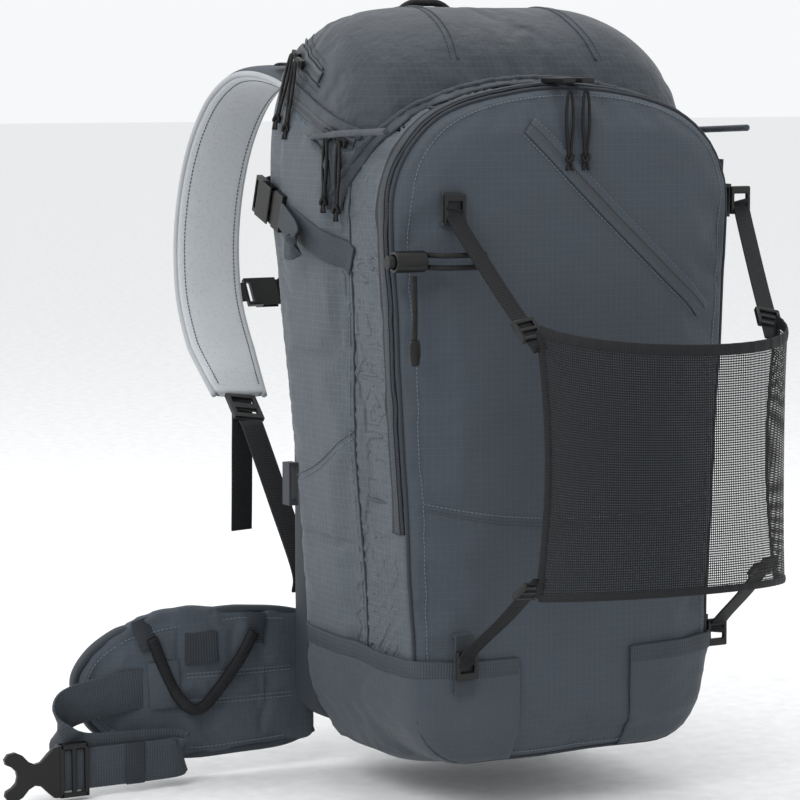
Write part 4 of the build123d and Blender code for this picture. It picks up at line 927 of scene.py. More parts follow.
def build_zips():
    """Zips, their flaps, pipings and seams on the shell."""
    zip_line = arch_line(0.0, ZIP_FOOT, ZIP_Y + 7.0, 0.7)
    skin_strap("front_zip_band", zip_line, 14 * MM, 1.2 * MM, "dark_web", "bag", ("front_zip",))
    coil = [p + n * 0.9 * MM for p, n in zip(*zip_line)]
    skin_strap("front_zip_coil", (coil, zip_line[1]), 5.5 * MM, 1.0 * MM, "zip_tape", "bag",
               crown=0.6 * MM)
    ring, _ = skin_ring(ZIP_Y - 2.5, lift=0.6)
    piece(tube_bmesh(ring, 1.5 * MM, 8, True), "panel_piping", "piping", "bag")
    inner = eased(skin_ring(ZIP_Y - 9.0)[0] * 2, 14)[90:271]
    rows = [tuple(zip(*[skin_at(point, Vector((0, 1, 0)), 0.3) for point in inner]))]
    lid_foot = split_z(-60) + 4.0
    flap = arch_line(5.0, lid_foot, FACE_Y, 1.2, Vector((0, 1, 0)))
    flap_points = [
        p + n * 1.1 * MM * math.sin(i * 1.9) * math.sin(i * 0.53)
        for i, (p, n) in enumerate(zip(*flap))
    ]
    binding = arch_line(2.0, lid_foot, FACE_Y, 1.5, Vector((0, 1, 0)))
    skin_strap("lid_front_binding", binding, 10 * MM, 1.6 * MM, "lid_cloth", "lid",
               crown=0.4 * MM)
    edge = tube_bmesh(evenly(flap_points, 0.002), lambda t: 2.6 * MM, 8)
    piece(edge, "lid_front_edge", "lid_cloth", "lid")
    for name, side in SIDES.items():
        direction = Vector((-side, 0, 0))
        low = [(side * 150, y, split_z(y) - 5.0) for y in (58, 30, 0, -30, -66)]
        line = skin_line(low, direction, 0.8)
        owned = ("lid_zip",) if name == "left" else ()
        skin_strap(f"main_zip_{name}", line, 9 * MM, 1.3 * MM, "zip_tape", "bag", owned,
                   crown=0.5 * MM)
        flap = [(side * 150, y, split_z(y) + 3.5) for y in (62, 30, 0, -30, -70)]
        skin_strap(f"main_zip_flap_{name}", skin_line(flap, direction, 1.6), 9 * MM, 1.2 * MM, "lid_cloth",
                   "lid")
        seam = [(side * 150, y, z) for y, z in ((-66, 450), (-64, 380), (-62, 250), (-60, 140), (-58, 60))]
        seam_line = skin_line(seam, direction, 0.3)
        piece(tube_bmesh(seam_line[0], 0.9 * MM, 8), f"gusset_seam_{name}", "piping", "bag")
        rows.append(skin_line([(x, y + 6, z) for x, y, z in seam], direction, 0.2, rounds=12))
        brace = [(side * 150, 52, 214), (side * 150, -6, 232), (side * 150, -60, 262)]
        brace_line = skin_line(brace, direction, 0.3)
        piece(tube_bmesh(brace_line[0], 0.8 * MM, 8), f"brace_seam_{name}", "side_cloth", "bag")
        rows.append(skin_line([(x, y, z - 5) for x, y, z in brace], direction, 0.2, rounds=8))
        under = [(side * 150, y, split_z(y) - 13.0) for y in (58, 30, 0, -30, -64)]
        rows.append(skin_line(under, direction, 0.2))
    pocket = [(-150, y, split_z(y) + 25.5) for y in (58, 40, 20, -10)]
    left = Vector((1, 0, 0))
    skin_strap("lid_pocket_zip_tape", skin_line(pocket, left, 0.8), 9 * MM, 1.3 * MM, "zip_tape", "lid",
               ("lid_pocket_zip",), crown=0.5 * MM)
    lid_rows = []
    for shift in (6.5, -6.5):
        edge = [(x, y, z + shift) for x, y, z in pocket]
        line = skin_line(edge, left, 1.0)
        piece(tube_bmesh(line[0], 0.9 * MM, 8), f"lid_pocket_lip_{'high' if shift > 0 else 'low'}",
              "lid_cloth", "lid")
        lid_rows.append(skin_line([(x, y, z + shift * 1.7) for x, y, z in pocket], left, 0.2))
    for side in (-1, 1):
        top = [(side * 62, -74, 540), (side * 58, -50, 565), (side * 56, 0, 580), (side * 60, 50, 572)]
        line = skin_line(top, Vector((0, 0, -1)), 0.3)
        piece(tube_bmesh(line[0], 1.0 * MM, 8), f"lid_seam_{'left' if side < 0 else 'right'}", "lid_cloth",
              "lid")
        lid_rows.append(([p + Vector((side * 0.006, 0, 0)) for p in line[0]], line[1]))
    into = Vector((0, 1, 0))
    diagonal = [(-40, -150, 494), (38, -150, 422), (119, -150, 350)]
    line = skin_line(diagonal, into, 0.8)
    skin_strap("pocket_zip_tape", line, 6.5 * MM, 1.2 * MM, "zip_tape", "bag", ("pocket_zip",),
               crown=0.5 * MM)
    for shift, lift in ((4.0, 1.7), (-4.6, 1.0)):
        side_by = [(x + shift * 0.68, y, z + shift * 0.73) for x, y, z in diagonal]
        skin_strap(f"pocket_flap_{'high' if shift > 0 else 'low'}", skin_line(side_by, into, lift), 5 * MM,
                   1.0 * MM,
                   "front_cloth", "bag")
        rows.append(skin_line([(x + shift * 1.3, y, z + shift * 1.4) for x, y, z in diagonal], into, 0.2))
    yoke = [(-150, -150, 214), (-60, -150, 196), (40, -150, 190), (140, -150, 200)]
    seam_line = skin_line(yoke, into, 0.2)
    piece(tube_bmesh(seam_line[0][3:-3], 0.8 * MM, 8), "panel_seam", "front_cloth", "bag")
    stitched = skin_line([(x, y, z + 5) for x, y, z in yoke], into, 0.2, rounds=8)
    rows.append((stitched[0][3:-3], stitched[1][3:-3]))
    base, base_normals = [], []
    for k in range(90):
        angle = math.radians(-38 + 256 * k / 89)
        direction = -Vector((math.cos(angle), math.sin(angle), 0.0))
        hit, normal = skin_at(bench(0, 0, BASE_BAND), direction, 0.3)
        base.append(hit)
        base_normals.append(normal)
    piece(tube_bmesh(eased(base), 1.0 * MM, 8), "base_seam", "piping", "bag")
    stitches("shell_stitches", rows, "bag")
    stitches("lid_stitches", lid_rows, "lid", "dark_thread")


# ---------------------------------------------------------------- sliders and pulls
def pull_cord(name, body):
    """A cord puller: a doubled cord with an overhand knot and two short ends."""
    low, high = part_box(name)
    front = name.startswith("front")
    if front:
        top = Vector(((low[0] + high[0]) / 2, (low[1] + high[1]) / 2, high[2]))
        foot = Vector((top.x, top.y, low[2]))
        wide = Vector((1, 0, 0))
    else:
        half = 1.6 * MM
        top = Vector((high[0] - half, (low[1] + high[1]) / 2, high[2]))
        foot = Vector((min(top.x, low[0] + 4.2 * MM), top.y, low[2]))
        wide = Vector((0, 1, 0))
    down = (foot - top) / 60.0
    depth = wide.cross(down).normalized()
    radius = 1.25 * MM

    def at(step, side=0.0, out=0.0):
        return top + down * step + wide * side * MM + depth * out * MM

    loop = [at(50, 0.8, 0.6), at(40, 1.5), at(26, 3.0), at(10, 2.6), at(0.5, 1.2), at(0.5, -1.2),
            at(10, -2.6),
            at(26, -3.0), at(40, -1.5), at(50, -0.8, -0.6)]
    bm = tube_bmesh(evenly(smooth_line(loop, 8), 0.0012), radius, 8)
    knot = []
    for k in range(28):
        angle = 2 * math.pi * k / 28
        knot.append(at(50.5 + 2.4 * math.sin(2 * angle), 2.5 * math.cos(angle), 2.2 * math.sin(angle)))
    parts = [tube_bmesh(knot, radius * 1.05, 8, True)]
    for side in (-1, 1):
        tail = [at(51, side * 0.6), at(55, side * 1.4, 0.3), at(59.5, side * 2.4)]
        parts.append(tube_bmesh(evenly(smooth_line(tail, 6), 0.0012), radius, 8))
    for part in parts:
        mesh = bpy.data.meshes.new("part")
        part.to_mesh(mesh)
        part.free()
        bm.from_mesh(mesh)
        bpy.data.meshes.remove(mesh)
    return piece(bm, f"{name}_cord", "cord", body, (name,))


def build_sliders():
    """Every slider and its cord puller."""
    for zip_name in ("main", "lid"):
        for place in ("front", "rear"):
            node = f"{zip_name}_slider_{place}"
            rounded(node, f"{node}_body", "metal", node, 0.9)
            pull_cord(f"{zip_name}_pull_{place}", f"{zip_name}_pull_{place}")
    for name in SIDES:
        rounded(f"front_slider_{name}", f"front_slider_{name}_body", "metal", f"front_slider_{name}",
                0.9)
        pull_cord(f"front_pull_{name}", f"front_pull_{name}")
    rounded("pocket_slider", "pocket_slider_body", "metal", "pocket_slider", 0.7)


# ---------------------------------------------------------------- side straps, pocket wings
def build_side_straps():
    """Compression straps with their buckles, and the pocket wings with their hems."""
    for name, side in SIDES.items():
        direction = Vector((-side, 0, 0))
        rounded(f"side_plug_{name}", f"side_plug_{name}_body", "plastic", f"side_plug_{name}",
                1.2)
        run = []
        for y in (36, 30, 20, 8, -8, -24, -40, -56, -68):
            z = 425.9 + (y - 32) * SPLIT_SLOPE
            hit, _ = skin_at(bench(side * 150, y, z), direction, 1.3)
            near = bench(side * 159.6, y, z)
            share = min(1.0, max(0.0, (y + 8) / 28))
            run.append(hit.lerp(near, share))
        across = Vector((0, SPLIT_SLOPE, -1)).normalized()
        owned = ("side_webbing",) if name == "left" else ()
        strap(f"side_strap_{name}", run, across, 22 * MM, 1.7 * MM, "grey_web", "bag", owned)
        anchor = []
        for y in (70, 76, 82, 88):
            z = 425.9 + (y - 32) * SPLIT_SLOPE
            hit, _ = skin_at(bench(side * 150, min(y, 84), z), direction, 1.2)
            anchor.append(hit if y > 76 else hit.lerp(bench(side * 161, y, z), 0.8 if y < 74 else 0.4))
        strap(f"side_anchor_{name}", anchor, across, 22 * MM, 1.7 * MM, "grey_web", "bag")
        tail = []
        for y, out, drop in ((27, 163.6, 0), (12, 165.5, 1), (-4, 167.5, 3), (-14, 171, 6), (-12, 174, 10),
                             (0, 173, 14)):
            tail.append(bench(side * out, y, 425.9 + (y - 32) * SPLIT_SLOPE - drop))
        strap(f"side_tail_{name}", tail, across, 20 * MM, 1.6 * MM, "grey_web", "bag")
    rounded("side_sockets", "side_sockets_bodies", "plastic", "bag", 1.0)
    for name, side in SIDES.items():
        pocket_wing(name, side)


def pocket_wing(name, side):
    """The wing of cloth over the bag's lower corner, with its ribbed hem."""
    levels = 22
    rows = []
    for level in range(levels + 1):
        share = level / levels
        row = []
        for k in range(61):
            angle = math.radians(40 - 128 * k / 60)
            out = Vector((side * math.cos(angle), math.sin(angle), 0.0))
            along = k / 60
            z = 10 + (84 - 8 * along) * share
            slack = 0.6 + 3.4 * share * share * (0.35 + math.sin(math.pi * along))
            slack += 0.9 * share * noise.noise(Vector((k * 0.16, share * 1.4, side * 5.0)))
            hit, _ = skin_at(bench(side * 46, -36, z), -out, slack)
            row.append(hit)
        rows.append(eased(row, 2))
    bm = bmesh.new()
    bmesh.ops.create_grid(bm, x_segments=60, y_segments=levels, size=1.0)
    for vert in bm.verts:
        k = round((vert.co.x + 1) / 2 * 60)
        level = round((vert.co.y + 1) / 2 * levels)
        vert.co = rows[level][k]
    if side > 0:
        bmesh.ops.reverse_faces(bm, faces=bm.faces)
    owned = ("side_pockets",) if name == "left" else ()
    wing = piece(bm, f"pocket_wing_{name}", ["base_cloth", "lining"], "bag", owned)
    modifier(wing, "SOLIDIFY", thickness=1.2 * MM, offset=1.0, material_offset=0)
    owned = ("pocket_hems",) if name == "left" else ()
    hem = strap(f"pocket_hem_{name}", rows[-1], (0, 0, 1), 13 * MM, 2.6 * MM, "grey_web", "bag",
                owned,
                smooth_path=False)


# ---------------------------------------------------------------- shoulder harness
STRAP_SPLAY = math.radians(8)
STRAP_ROOT = (72.0, 104.48, 506.0)


def harness_at(side, across, back, up):
    """A point beside a shoulder strap's middle line, as a row-frame point."""
    x = across + math.sin(STRAP_SPLAY) * side * -up
    z = up * math.cos(STRAP_SPLAY)
    return bench(side * STRAP_ROOT[0] + x, STRAP_ROOT[1] + back, STRAP_ROOT[2] + z)


def sweep_bmesh(path, across, section, rings=24):
    """A closed section swept along a path: section(share) gives its (sideways, outwards) offsets."""
    rows = len(path)
    bm = bmesh.new()
    bmesh.ops.create_grid(bm, x_segments=rings, y_segments=rows - 1, size=1.0)
    bm.verts.index_update()
    layer = bm.loops.layers.uv.new("strap")
    lengths = [0.0]
    for a, b in zip(path, path[1:]):
        lengths.append(lengths[-1] + (b - a).length)
    places = {
        vert.index: (round((vert.co.x + 1) / 2 * rings), round((vert.co.y + 1) / 2 * (rows - 1)))
        for vert in bm.verts
    }
    for vert in bm.verts:
        k, row = places[vert.index]
        ahead = (path[min(row + 1, rows - 1)] - path[max(row - 1, 0)]).normalized()
        side = (across - ahead * across.dot(ahead)).normalized()
        out = ahead.cross(side)
        u, v = section(row / (rows - 1))[k % rings]
        vert.co = path[row] + side * u * MM + out * v * MM
    for face in bm.faces:
        for loop in face.loops:
            k, row = places[loop.vert.index]
            loop[layer].uv = (k / rings * 0.12, lengths[row])
    bmesh.ops.remove_doubles(bm, verts=bm.verts, dist=1e-6)
    bmesh.ops.holes_fill(bm, edges=[e for e in bm.edges if e.is_boundary], sides=0)
    bmesh.ops.recalc_face_normals(bm, faces=bm.faces)
    return bm


def pad_section(half, thick, crown, rings=24):
    """A flat padded section with rounded edges and a crown on both faces."""
    offsets = []
    for k in range(rings):
        angle = 2 * math.pi * k / rings
        c, s = math.cos(angle), math.sin(angle)
        u = half * math.copysign(abs(c) ** 0.45, c)
        v = math.copysign(abs(s) ** 0.6, s) * (thick / 2 + crown * (1 - (u / half) ** 2))
        offsets.append((u, v))
    return offsets


def build_harness():
    """Shoulder straps, their binding, webbing and adjusters, and the chest strap."""
    for name, side in SIDES.items():
        def at(across, back, up, side=side):
            return harness_at(side, across, back, up)
        rounded_runs = [(0, 0), (30, 11), (66, 21), (110, 26.5), (150, 23), (186, 4), (210, -28),
                        (221, -66), (221, -106),
                        (212, -142), (196, -174), (168, -206), (140, -229), (118, -246)]
        path = evenly(smooth_line([at(0, *run) for run in rounded_runs], 8), 0.004)

        def section(share):
            root, end = min(1.0, share / 0.06), min(1.0, (1 - share) / 0.05)
            half = 29 * (0.9 + 0.1 * root) * (0.80 + 0.2 * min(1.0, (1 - share) / 0.12))
            return pad_section(half, 7 + 4 * min(root, end), 2.4 * min(root, end))

        bm = sweep_bmesh(path, Vector((-1, 0, 0)), section)
        bm.faces.ensure_lookup_table()
        tree_path = path
        for face in bm.faces:
            middle = face.calc_center_median()
            near = min(range(len(tree_path)), key=lambda i: (tree_path[i] - middle).length_squared)
            ahead = (path[min(near + 1, len(path) - 1)] - path[max(near - 1, 0)]).normalized()
            outward = ahead.cross(Vector((-1, 0, 0)))
            face.material_index = 1 if face.normal.dot(outward) > 0.12 else 0
        made = piece(bm, f"shoulder_pad_{name}", ["spacer_mesh", "front_cloth"], None,
                     (f"shoulder_strap_{name}",))
        modifier(made, "SUBSURF", levels=1)
        applied(made)
        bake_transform(made)
        rows = []
        for edge in (-1, 1):
            line = []
            for i, point in enumerate(path):
                share = i / (len(path) - 1)
                half = section(share)[0][0]
                ahead = (path[min(i + 1, len(path) - 1)] - path[max(i - 1, 0)]).normalized()
                sideways = (Vector((1, 0, 0)) - ahead * ahead.x).normalized()
                line.append(point + sideways * edge * (half - 0.6) * MM)
            binding = piece(tube_bmesh(line, 2.6 * MM, 8),
                            f"strap_binding_{name}_{'in' if edge * side < 0 else 'out'}",
                            "strap_edge", None)
            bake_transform(binding)
            stitch_line, normals = [], []
            for i, point in enumerate(line[8:-2]):
                ahead = (line[min(i + 9, len(line) - 1)] - line[i + 7]).normalized()
                inward = -ahead.cross(Vector((-1, 0, 0))).normalized()
                stitch_line.append(point + Vector((-edge * 5.2 * MM, 0, 0)) + inward * 5.6 * MM)
                normals.append(inward)
            rows.append((stitch_line, normals))
        stitches(f"strap_stitches_{name}", rows, "harness", "dark_thread")
        lifter = [bench(side * 91, 110, 529), bench(side * 88, 130, 534), bench(side * 84, 152, 539.5),
                  bench(side * 82, 172, 541), bench(side * 80, 186, 540)]
        web = strap(f"lifter_web_{name}", lifter, (1, 0, 0), 18 * MM, 1.6 * MM, "black_web", None)
        applied(web)
        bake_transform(web)
        end = Vector((118, -246))
        down = (Vector((118, -246)) - Vector((186, -196))).normalized()
        lock = [end + down * step for step in (33, 46)]
        foot = bench(side * 108, 103.1, 130)
        first, second = (at(0, point.x, point.y) for point in lock)
        mid = second.lerp(foot, 0.5) + Vector((0, -0.004, -0.004))
        owned = ("strap_webbing",) if name == "left" else ()
        line = [first, second, mid, foot, foot + Vector((0, -0.0005, -0.018))]
        web = strap(f"lower_web_{name}", line, (1, 0, 0), 20 * MM, 1.7 * MM, "black_web", None,
                    owned)
        applied(web)
        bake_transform(web)
        upper = at(0, *(end + down * 8))
        tail = [upper + Vector((0, 0.004, 0.004)), at(0, *(end + down * 22)) + Vector((0, 0.009, -0.002)),
                at(0, *(end + down * 32)) + Vector((side * 0.002, 0.012, -0.024)),
                at(0, *(end + down * 34)) + Vector((side * 0.004, 0.010, -0.062)),
                at(0, *(end + down * 32)) + Vector((side * 0.003, 0.012, -0.094))]
        strap(f"lower_web_tail_{name}", tail, (1, 0, 0), 19 * MM, 1.6 * MM, "black_web", "harness")
        slider = [at(side * 6, 208, -60), at(side * 6, 222, -84), at(side * 6, 226, -110),
                  at(side * 6, 222, -136)]
        outer = [p + Vector((0, 0.0095, 0.0)) for p in slider]
        strap(f"strap_rail_{name}", outer, (1, 0, 0), 12 * MM, 1.8 * MM, "black_web", "harness")
    rounded("ladder_locks", "ladder_lock_bodies", "plastic", "harness", 1.0)
    rounded("load_lifters", "load_lifter_buckles", "plastic", "bag", 1.0)
    rounded("sternum_carriers", "sternum_carrier_bodies", "plastic", "chest_strap", 1.2)
    rounded("sternum_plug", "sternum_plug_body", "plastic", "chest_plug", 1.2)
    rounded("sternum_socket", "sternum_socket_body", "plastic", "chest_strap", 1.0)
    rounded("sternum_web", "chest_web", "chest_webbing", "chest_strap", 0.5)


# ---------------------------------------------------------------- hip belt
FIN_ROOT = (126.0, 103.38)
FIN_BOW = 520.0
FIN_HALF = 6.5


def fin_at(side, out, depth, z):
    """A point drawn at the left fin's hinge, out along the fin, on its side of the bag."""
    if side < 0:
        return bench(-FIN_ROOT[0] - out, FIN_ROOT[1] + depth, z)
    return bench(FIN_ROOT[0] - depth, FIN_ROOT[1] + out, z)


def fin_turn(side, out, depth, z):
    """The same for a direction."""
    return fin_at(side, out, depth, z) - fin_at(side, 0, 0, 0)


def fin_face(out, lift=0.0):
    """Depth of the fin's outer face at a distance out, lifted off it."""
    return FIN_BOW - math.sqrt(max(0.0, (FIN_BOW + FIN_HALF + lift) ** 2 - out**2))


FIN_EDGE = ((-26, 92), (2, 99), (28, 102), (51.6, 103), (98, 99.5), (126, 93), (141, 88), (160, 73),
            (171, 52),
            (166, 28), (154.8, 10), (128, -6), (86, -13), (44, -12), (2, -10), (-26, -2))
FIN_ROWS = (30.0, 52.0)


def fin_body(bm, side):
    """Draws the fin's root inboard, under the bag's side."""
    for vert in bm.verts:
        point = to_bench(vert.co)
        out = -point.x - FIN_ROOT[0] if side < 0 else point.y - FIN_ROOT[1]
        if out < 14:
            move = (14 - out) / 12 * 32
            vert.co -= fin_turn(side, min(move, 32), 0, 0)
    return bm


def fin_hold(side):
    """How firmly a fin is held, by bench point and normal."""
    def hold(point, normal):
        out = -point.x - FIN_ROOT[0] if side < 0 else point.y - FIN_ROOT[1]
        facing = abs(normal.dot(fin_turn(side, 0, 1, 0).normalized()))
        held = 1.0 if facing < 0.75 else 0.0
        if out < 92:
            held = max(held, *(1 - abs(point.z - row) / 3.4 for row in FIN_ROWS))
        if out < -6:
            held = 1.0
        return held
    return hold


def build_belt():
    """Hip fins, gear loops, belt webbing and the two halves of the buckle."""
    for name, side in SIDES.items():
        node = f"hip_fin_{name}"
        bm = bmesh.new()
        bm.from_mesh(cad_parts[node].data)
        bmesh.ops.remove_doubles(bm, verts=bm.verts, dist=1e-6)
        bm = fin_body(remeshed(bm, 0.0042, 3), side)
        bm.normal_update()
        bm = filled(bm, fin_hold(side), cap=4.0, pressure=6.0, spare=0.03)
        bm.normal_update()
        for vert in bm.verts:
            point = to_bench(vert.co)
            out = -point.x - FIN_ROOT[0] if side < 0 else point.y - FIN_ROOT[1]
            if abs(vert.normal.dot(fin_turn(side, 0, 1, 0).normalized())) > 0.6:
                if out < 92:
                    dip = max(math.exp(-((point.z - row) / 2.6) ** 2) for row in FIN_ROWS)
                    vert.co -= vert.normal * 1.4 * MM * dip
                vert.co += vert.normal * 0.7 * MM * noise.noise(point * 0.03)
        tree = BVHTree.FromBMesh(bm)
        made = piece(bm, f"fin_{name}", "front_cloth", None, (node,))
        modifier(made, "SUBSURF", levels=1)
        applied(made)
        body = f"hip_{name}"
        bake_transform(made)

        def on_fin(out, z, lift=0.6, side=side, tree=tree):
            inward = fin_turn(side, 0, 1, 0).normalized()
            hit, normal, _, _ = tree.ray_cast(fin_at(side, out, -120, z), inward)
            if hit is None:
                return fin_at(side, out, fin_face(out, lift), z), -inward
            return hit + normal * lift * MM, normal

        outline = evenly(smooth_line([Vector((out, 0, z)) for out, z in FIN_EDGE], 8), 3.0)
        rim = [fin_at(side, mark.x, fin_face(mark.x, -FIN_HALF), mark.z) for mark in outline]
        bound = sweep_bmesh(rim, fin_turn(side, 0, 1, 0).normalized(),
                            lambda _: pad_section(5.2, 5.4, 0.3, 12), 12)
        bound = piece(bound, f"fin_binding_{name}", "dark_binding", None)
        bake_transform(bound)
        rows = []
        for z in FIN_ROWS:
            for shift in (-1.6, 1.6):
                line = [on_fin(out, z + shift, 0.2) for out in range(-4, 88, 6)]
                rows.append(([p for p, _ in line], [n for _, n in line]))
        inset = [on_fin(out * 0.955 + 1, (z - 45) * 0.88 + 45, 0.2) for out, z in FIN_EDGE[1:-1]]
        rows.append((smooth_line([p for p, _ in inset], 4), [n for _, n in inset]))
        stitches(f"fin_stitches_{name}", rows, body)
        patch = [on_fin(out, 76 - out * 0.02, 0.9)[0] for out in (62, 70, 78, 88)]
        strap(f"fin_patch_{name}", patch, (0, 0, 1), 26 * MM, 1.2 * MM, "dark_web", body)
        gear_loop(name, side, on_fin)
        belt_strap(name, side, on_fin)
    buckle_plate("belt_plug", -1, plug_outline())
    rounded("belt_socket", "belt_socket_body", "plastic", "belt_socket", 1.6)


def gear_loop(name, side, on_fin):
    """The sleeved gear loop, with its two flat sewn ends."""
    gap = 3.5 + 3.4
    near = (32, fin_face(32) - gap, 85.1)
    far = (116, fin_face(116) - gap, 85.1)
    runs = [near, (44, near[1] - 0.5, 66), (62, (near[1] + far[1]) / 2 - 1.5, 40),
            (76, (near[1] + far[1]) / 2 - 1.5, 27),
            (88, (near[1] + far[1]) / 2 - 1, 28), (98, far[1] - 1, 42), (108, far[1] - 0.5, 64), far]
    line = [fin_at(side, *run) for run in runs]
    path = evenly(smooth_line(line, 8), 0.0025)
    bm = sweep_bmesh(path, fin_turn(side, 0, 1, 0).normalized(), lambda s: pad_section(3.2, 8.5, 0.4, 12), 12)
    piece(bm, f"gear_loop_sleeve_{name}", "black_web", f"gear_{name}",
          (f"gear_loop_{name}",))
    for place, out in (("near", 30), ("far", 118)):
        lean = -3 if place == "near" else 4
        tab = [on_fin(out + lean, 99, 1.2)[0], on_fin(out + lean * 0.6, 92, 1.4)[0],
               fin_at(side, out, fin_face(out) - 4.0, 83),
               fin_at(side, out - lean * 0.4, fin_face(out) - 5.2, 76)]
        strap(f"gear_tab_{place}_{name}", tab, fin_turn(side, 1, 0, 0), 16 * MM, 2.2 * MM, "dark_web",
              f"hip_{name}")


def belt_strap(name, side, on_fin):
    """The belt's webbing: from under the fin's patch, round a turn and back to the buckle."""
    first = fin_face(122) - 3.0
    back, last = first - 20.0, first - 27.0
    runs = [(112, first + 0.5, 46), (130, first, 44.5), (150, first + 0.3, 42), (172, first, 39),
            (188, first - 2, 35),
            (197, first - 7, 28), (199, first - 13, 18), (194, back + 0.5, 8), (180, back, 2.5),
            (150, back, 0.5),
            (122, back, -0.5), (106, back - 1.0, -2), (99.5, back - 3.5, -4), (103, last, -7),
            (122, last, -8),
            (150, last, -8), (180, last, -8), (203, last, -8)]
    line = [fin_at(side, *run) for run in runs]
    strap(f"belt_web_{name}", line, (0, 0, 1), 32 * MM, 1.9 * MM, "grey_web", f"hip_{name}",
          (f"belt_webbing_{name}",), pitch=0.0025)
    keeper = [(134, last - 1.6, -8), (142, last - 1.9, -8), (150, last - 1.6, -8)]
    strap(f"belt_keeper_{name}", [fin_at(side, *k) for k in keeper], (0, 0, 1), 33 * MM, 1.4 * MM, "dark_web",
          f"hip_{name}")
    cover = [on_fin(out, 47 - (out - 100) * 0.05, 1.2)[0] for out in (92, 100, 108, 118)]
    strap(f"belt_cover_{name}", cover, (0, 0, 1), 38 * MM, 1.6 * MM, "front_cloth", f"hip_{name}")


def plug_outline():
    """Half the plug's outline: along it from the frame, and half its width."""
    return ((12, 20.5), (17, 20), (22, 15.5), (28, 9.5), (33, 8.5), (38, 11), (43, 16.5), (49, 19.5),
            (55, 18.5), (58, 14.5),
            (57, 10.5), (52, 8), (48.5, 4.5), (47.5, 0))


def buckle_plate(node, side, outline):
    """The belt's plug: a waisted plate with two rounded prongs, and its slotted frame."""
    bm = bmesh.new()
    last = fin_face(122) - 30.0
    centre_x, height = 194.0, -8.0
    ring = [(a, b) for a, b in outline] + [(a, -b) for a, b in reversed(outline[:-1])]
    verts = [bm.verts.new((a * MM, b * MM, 1.7 * MM)) for a, b in ring]
    face = bm.faces.new(verts)
    top = bmesh.ops.extrude_face_region(bm, geom=[face])["geom"]
    moved = [g for g in top if isinstance(g, bmesh.types.BMVert)]
    bmesh.ops.translate(bm, verts=moved, vec=(0, 0, 5.4 * MM))
    bmesh.ops.recalc_face_normals(bm, faces=bm.faces)
    edges = [e for e in bm.edges if e.is_manifold and e.calc_face_angle(0) > 1.0]
    bmesh.ops.bevel(bm, geom=edges, offset=1.3 * MM, segments=3, profile=0.5, affect="EDGES", material=-1)
    for x, width, length in ((10.5, 42, 4.0), (0.0, 36, 4.0), (-10.5, 42, 3.6)):
        depth = 10.0 if x else 3.0
        low = 2.0 if x else 5.2
        bar = bmesh.ops.create_cube(bm, size=1.0)["verts"]
        bmesh.ops.scale(bm, verts=bar, vec=(length * MM, width * MM, depth * MM))
        bmesh.ops.translate(bm, verts=bar, vec=(x * MM, 0, low * MM))
    for sign in (-1, 1):
        rail = bmesh.ops.create_cube(bm, size=1.0)["verts"]
        bmesh.ops.scale(bm, verts=rail, vec=(24 * MM, 4 * MM, 10 * MM))
        bmesh.ops.translate(bm, verts=rail, vec=(0, sign * 19 * MM, 2 * MM))
    turn = Matrix((fin_turn(side, 1, 0, 0) / MM, Vector((0, 0, 1)), fin_turn(side, 0, -1, 0) / MM))
    place = turn.transposed().to_4x4()
    place.translation = fin_at(side, centre_x, last + 3.0, height)
    bmesh.ops.transform(bm, matrix=place, verts=bm.verts)
    bmesh.ops.recalc_face_normals(bm, faces=bm.faces)
    made = piece(bm, f"{node}_body", "plastic", node, (node,), weld=False)
    modifier(made, "BEVEL", width=1.0 * MM, segments=3, limit_method="ANGLE", angle_limit=math.radians(50))
    modifier(made, "WEIGHTED_NORMAL")


# ---------------------------------------------------------------- back
def soft_pad(node, name, finish, cap, body="bag"):
    """A pad on the back: swollen from its CAD form, flat where it lies on the board."""
    bm = bmesh.new()
    bm.from_mesh(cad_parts[node].data)
    bmesh.ops.remove_doubles(bm, verts=bm.verts, dist=1e-6)
    bm = remeshed(bm, 0.0045, 5)
    bm.normal_update()
    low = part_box(node)[0][1]

    def hold(point, normal):
        y = point.y * MM + BENCH_ZERO.y
        return 1.0 if y < low + 0.0035 or normal.y < 0.35 else 0.0

    bm = filled(bm, hold, cap=cap, pressure=4.0, spare=0.02)
    bm.normal_update()
    made = piece(bm, name, finish, body, (node,))
    modifier(made, "SUBSURF", levels=1)
    return made


def build_back():
    """The board behind the bag with its pads, seams and the frame inside."""
    bm = bmesh.new()
    bm.from_mesh(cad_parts["back_plate"].data)
    bmesh.ops.remove_doubles(bm, verts=bm.verts, dist=1e-6)
    bm = remeshed(bm, 0.0045, 5)
    for vert in bm.verts:
        vert.co.y += 0.6 * MM * noise.noise(to_bench(vert.co) * 0.03)
    made = piece(bm, "back_board", "back_cloth", "bag", ("back_plate",))
    modifier(made, "SUBSURF", levels=1)
    soft_pad("back_pads", "back_pad_pair", "back_mesh", 3.0)
    soft_pad("lumbar_pad", "lumbar_cushion", "back_mesh", 4.0)
    for sign in (-1, 1):
        line = [bench(sign * x, 101.6, z) for x,
                z in ((112, 20), (113, 120), (112, 300), (110, 430), (104, 505))]
        tube(f"back_piping_{'left' if sign < 0 else 'right'}", line, 1.4 * MM, "piping", "bag")
    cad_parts["frame_rod"].data.materials.clear()
    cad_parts["frame_rod"].data.materials.append(MATERIALS["rod"])
    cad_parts["frame_sheet"].data.materials.clear()
    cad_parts["frame_sheet"].data.materials.append(MATERIALS["sheet"])


# ---------------------------------------------------------------- helmet holder
NET_X, NET_HALF, NET_TOP, NET_LOW = 18.0, 104.0, 346.0, 158.0
NET_EDGE_Y, NET_BOW = -236.0, 82.0


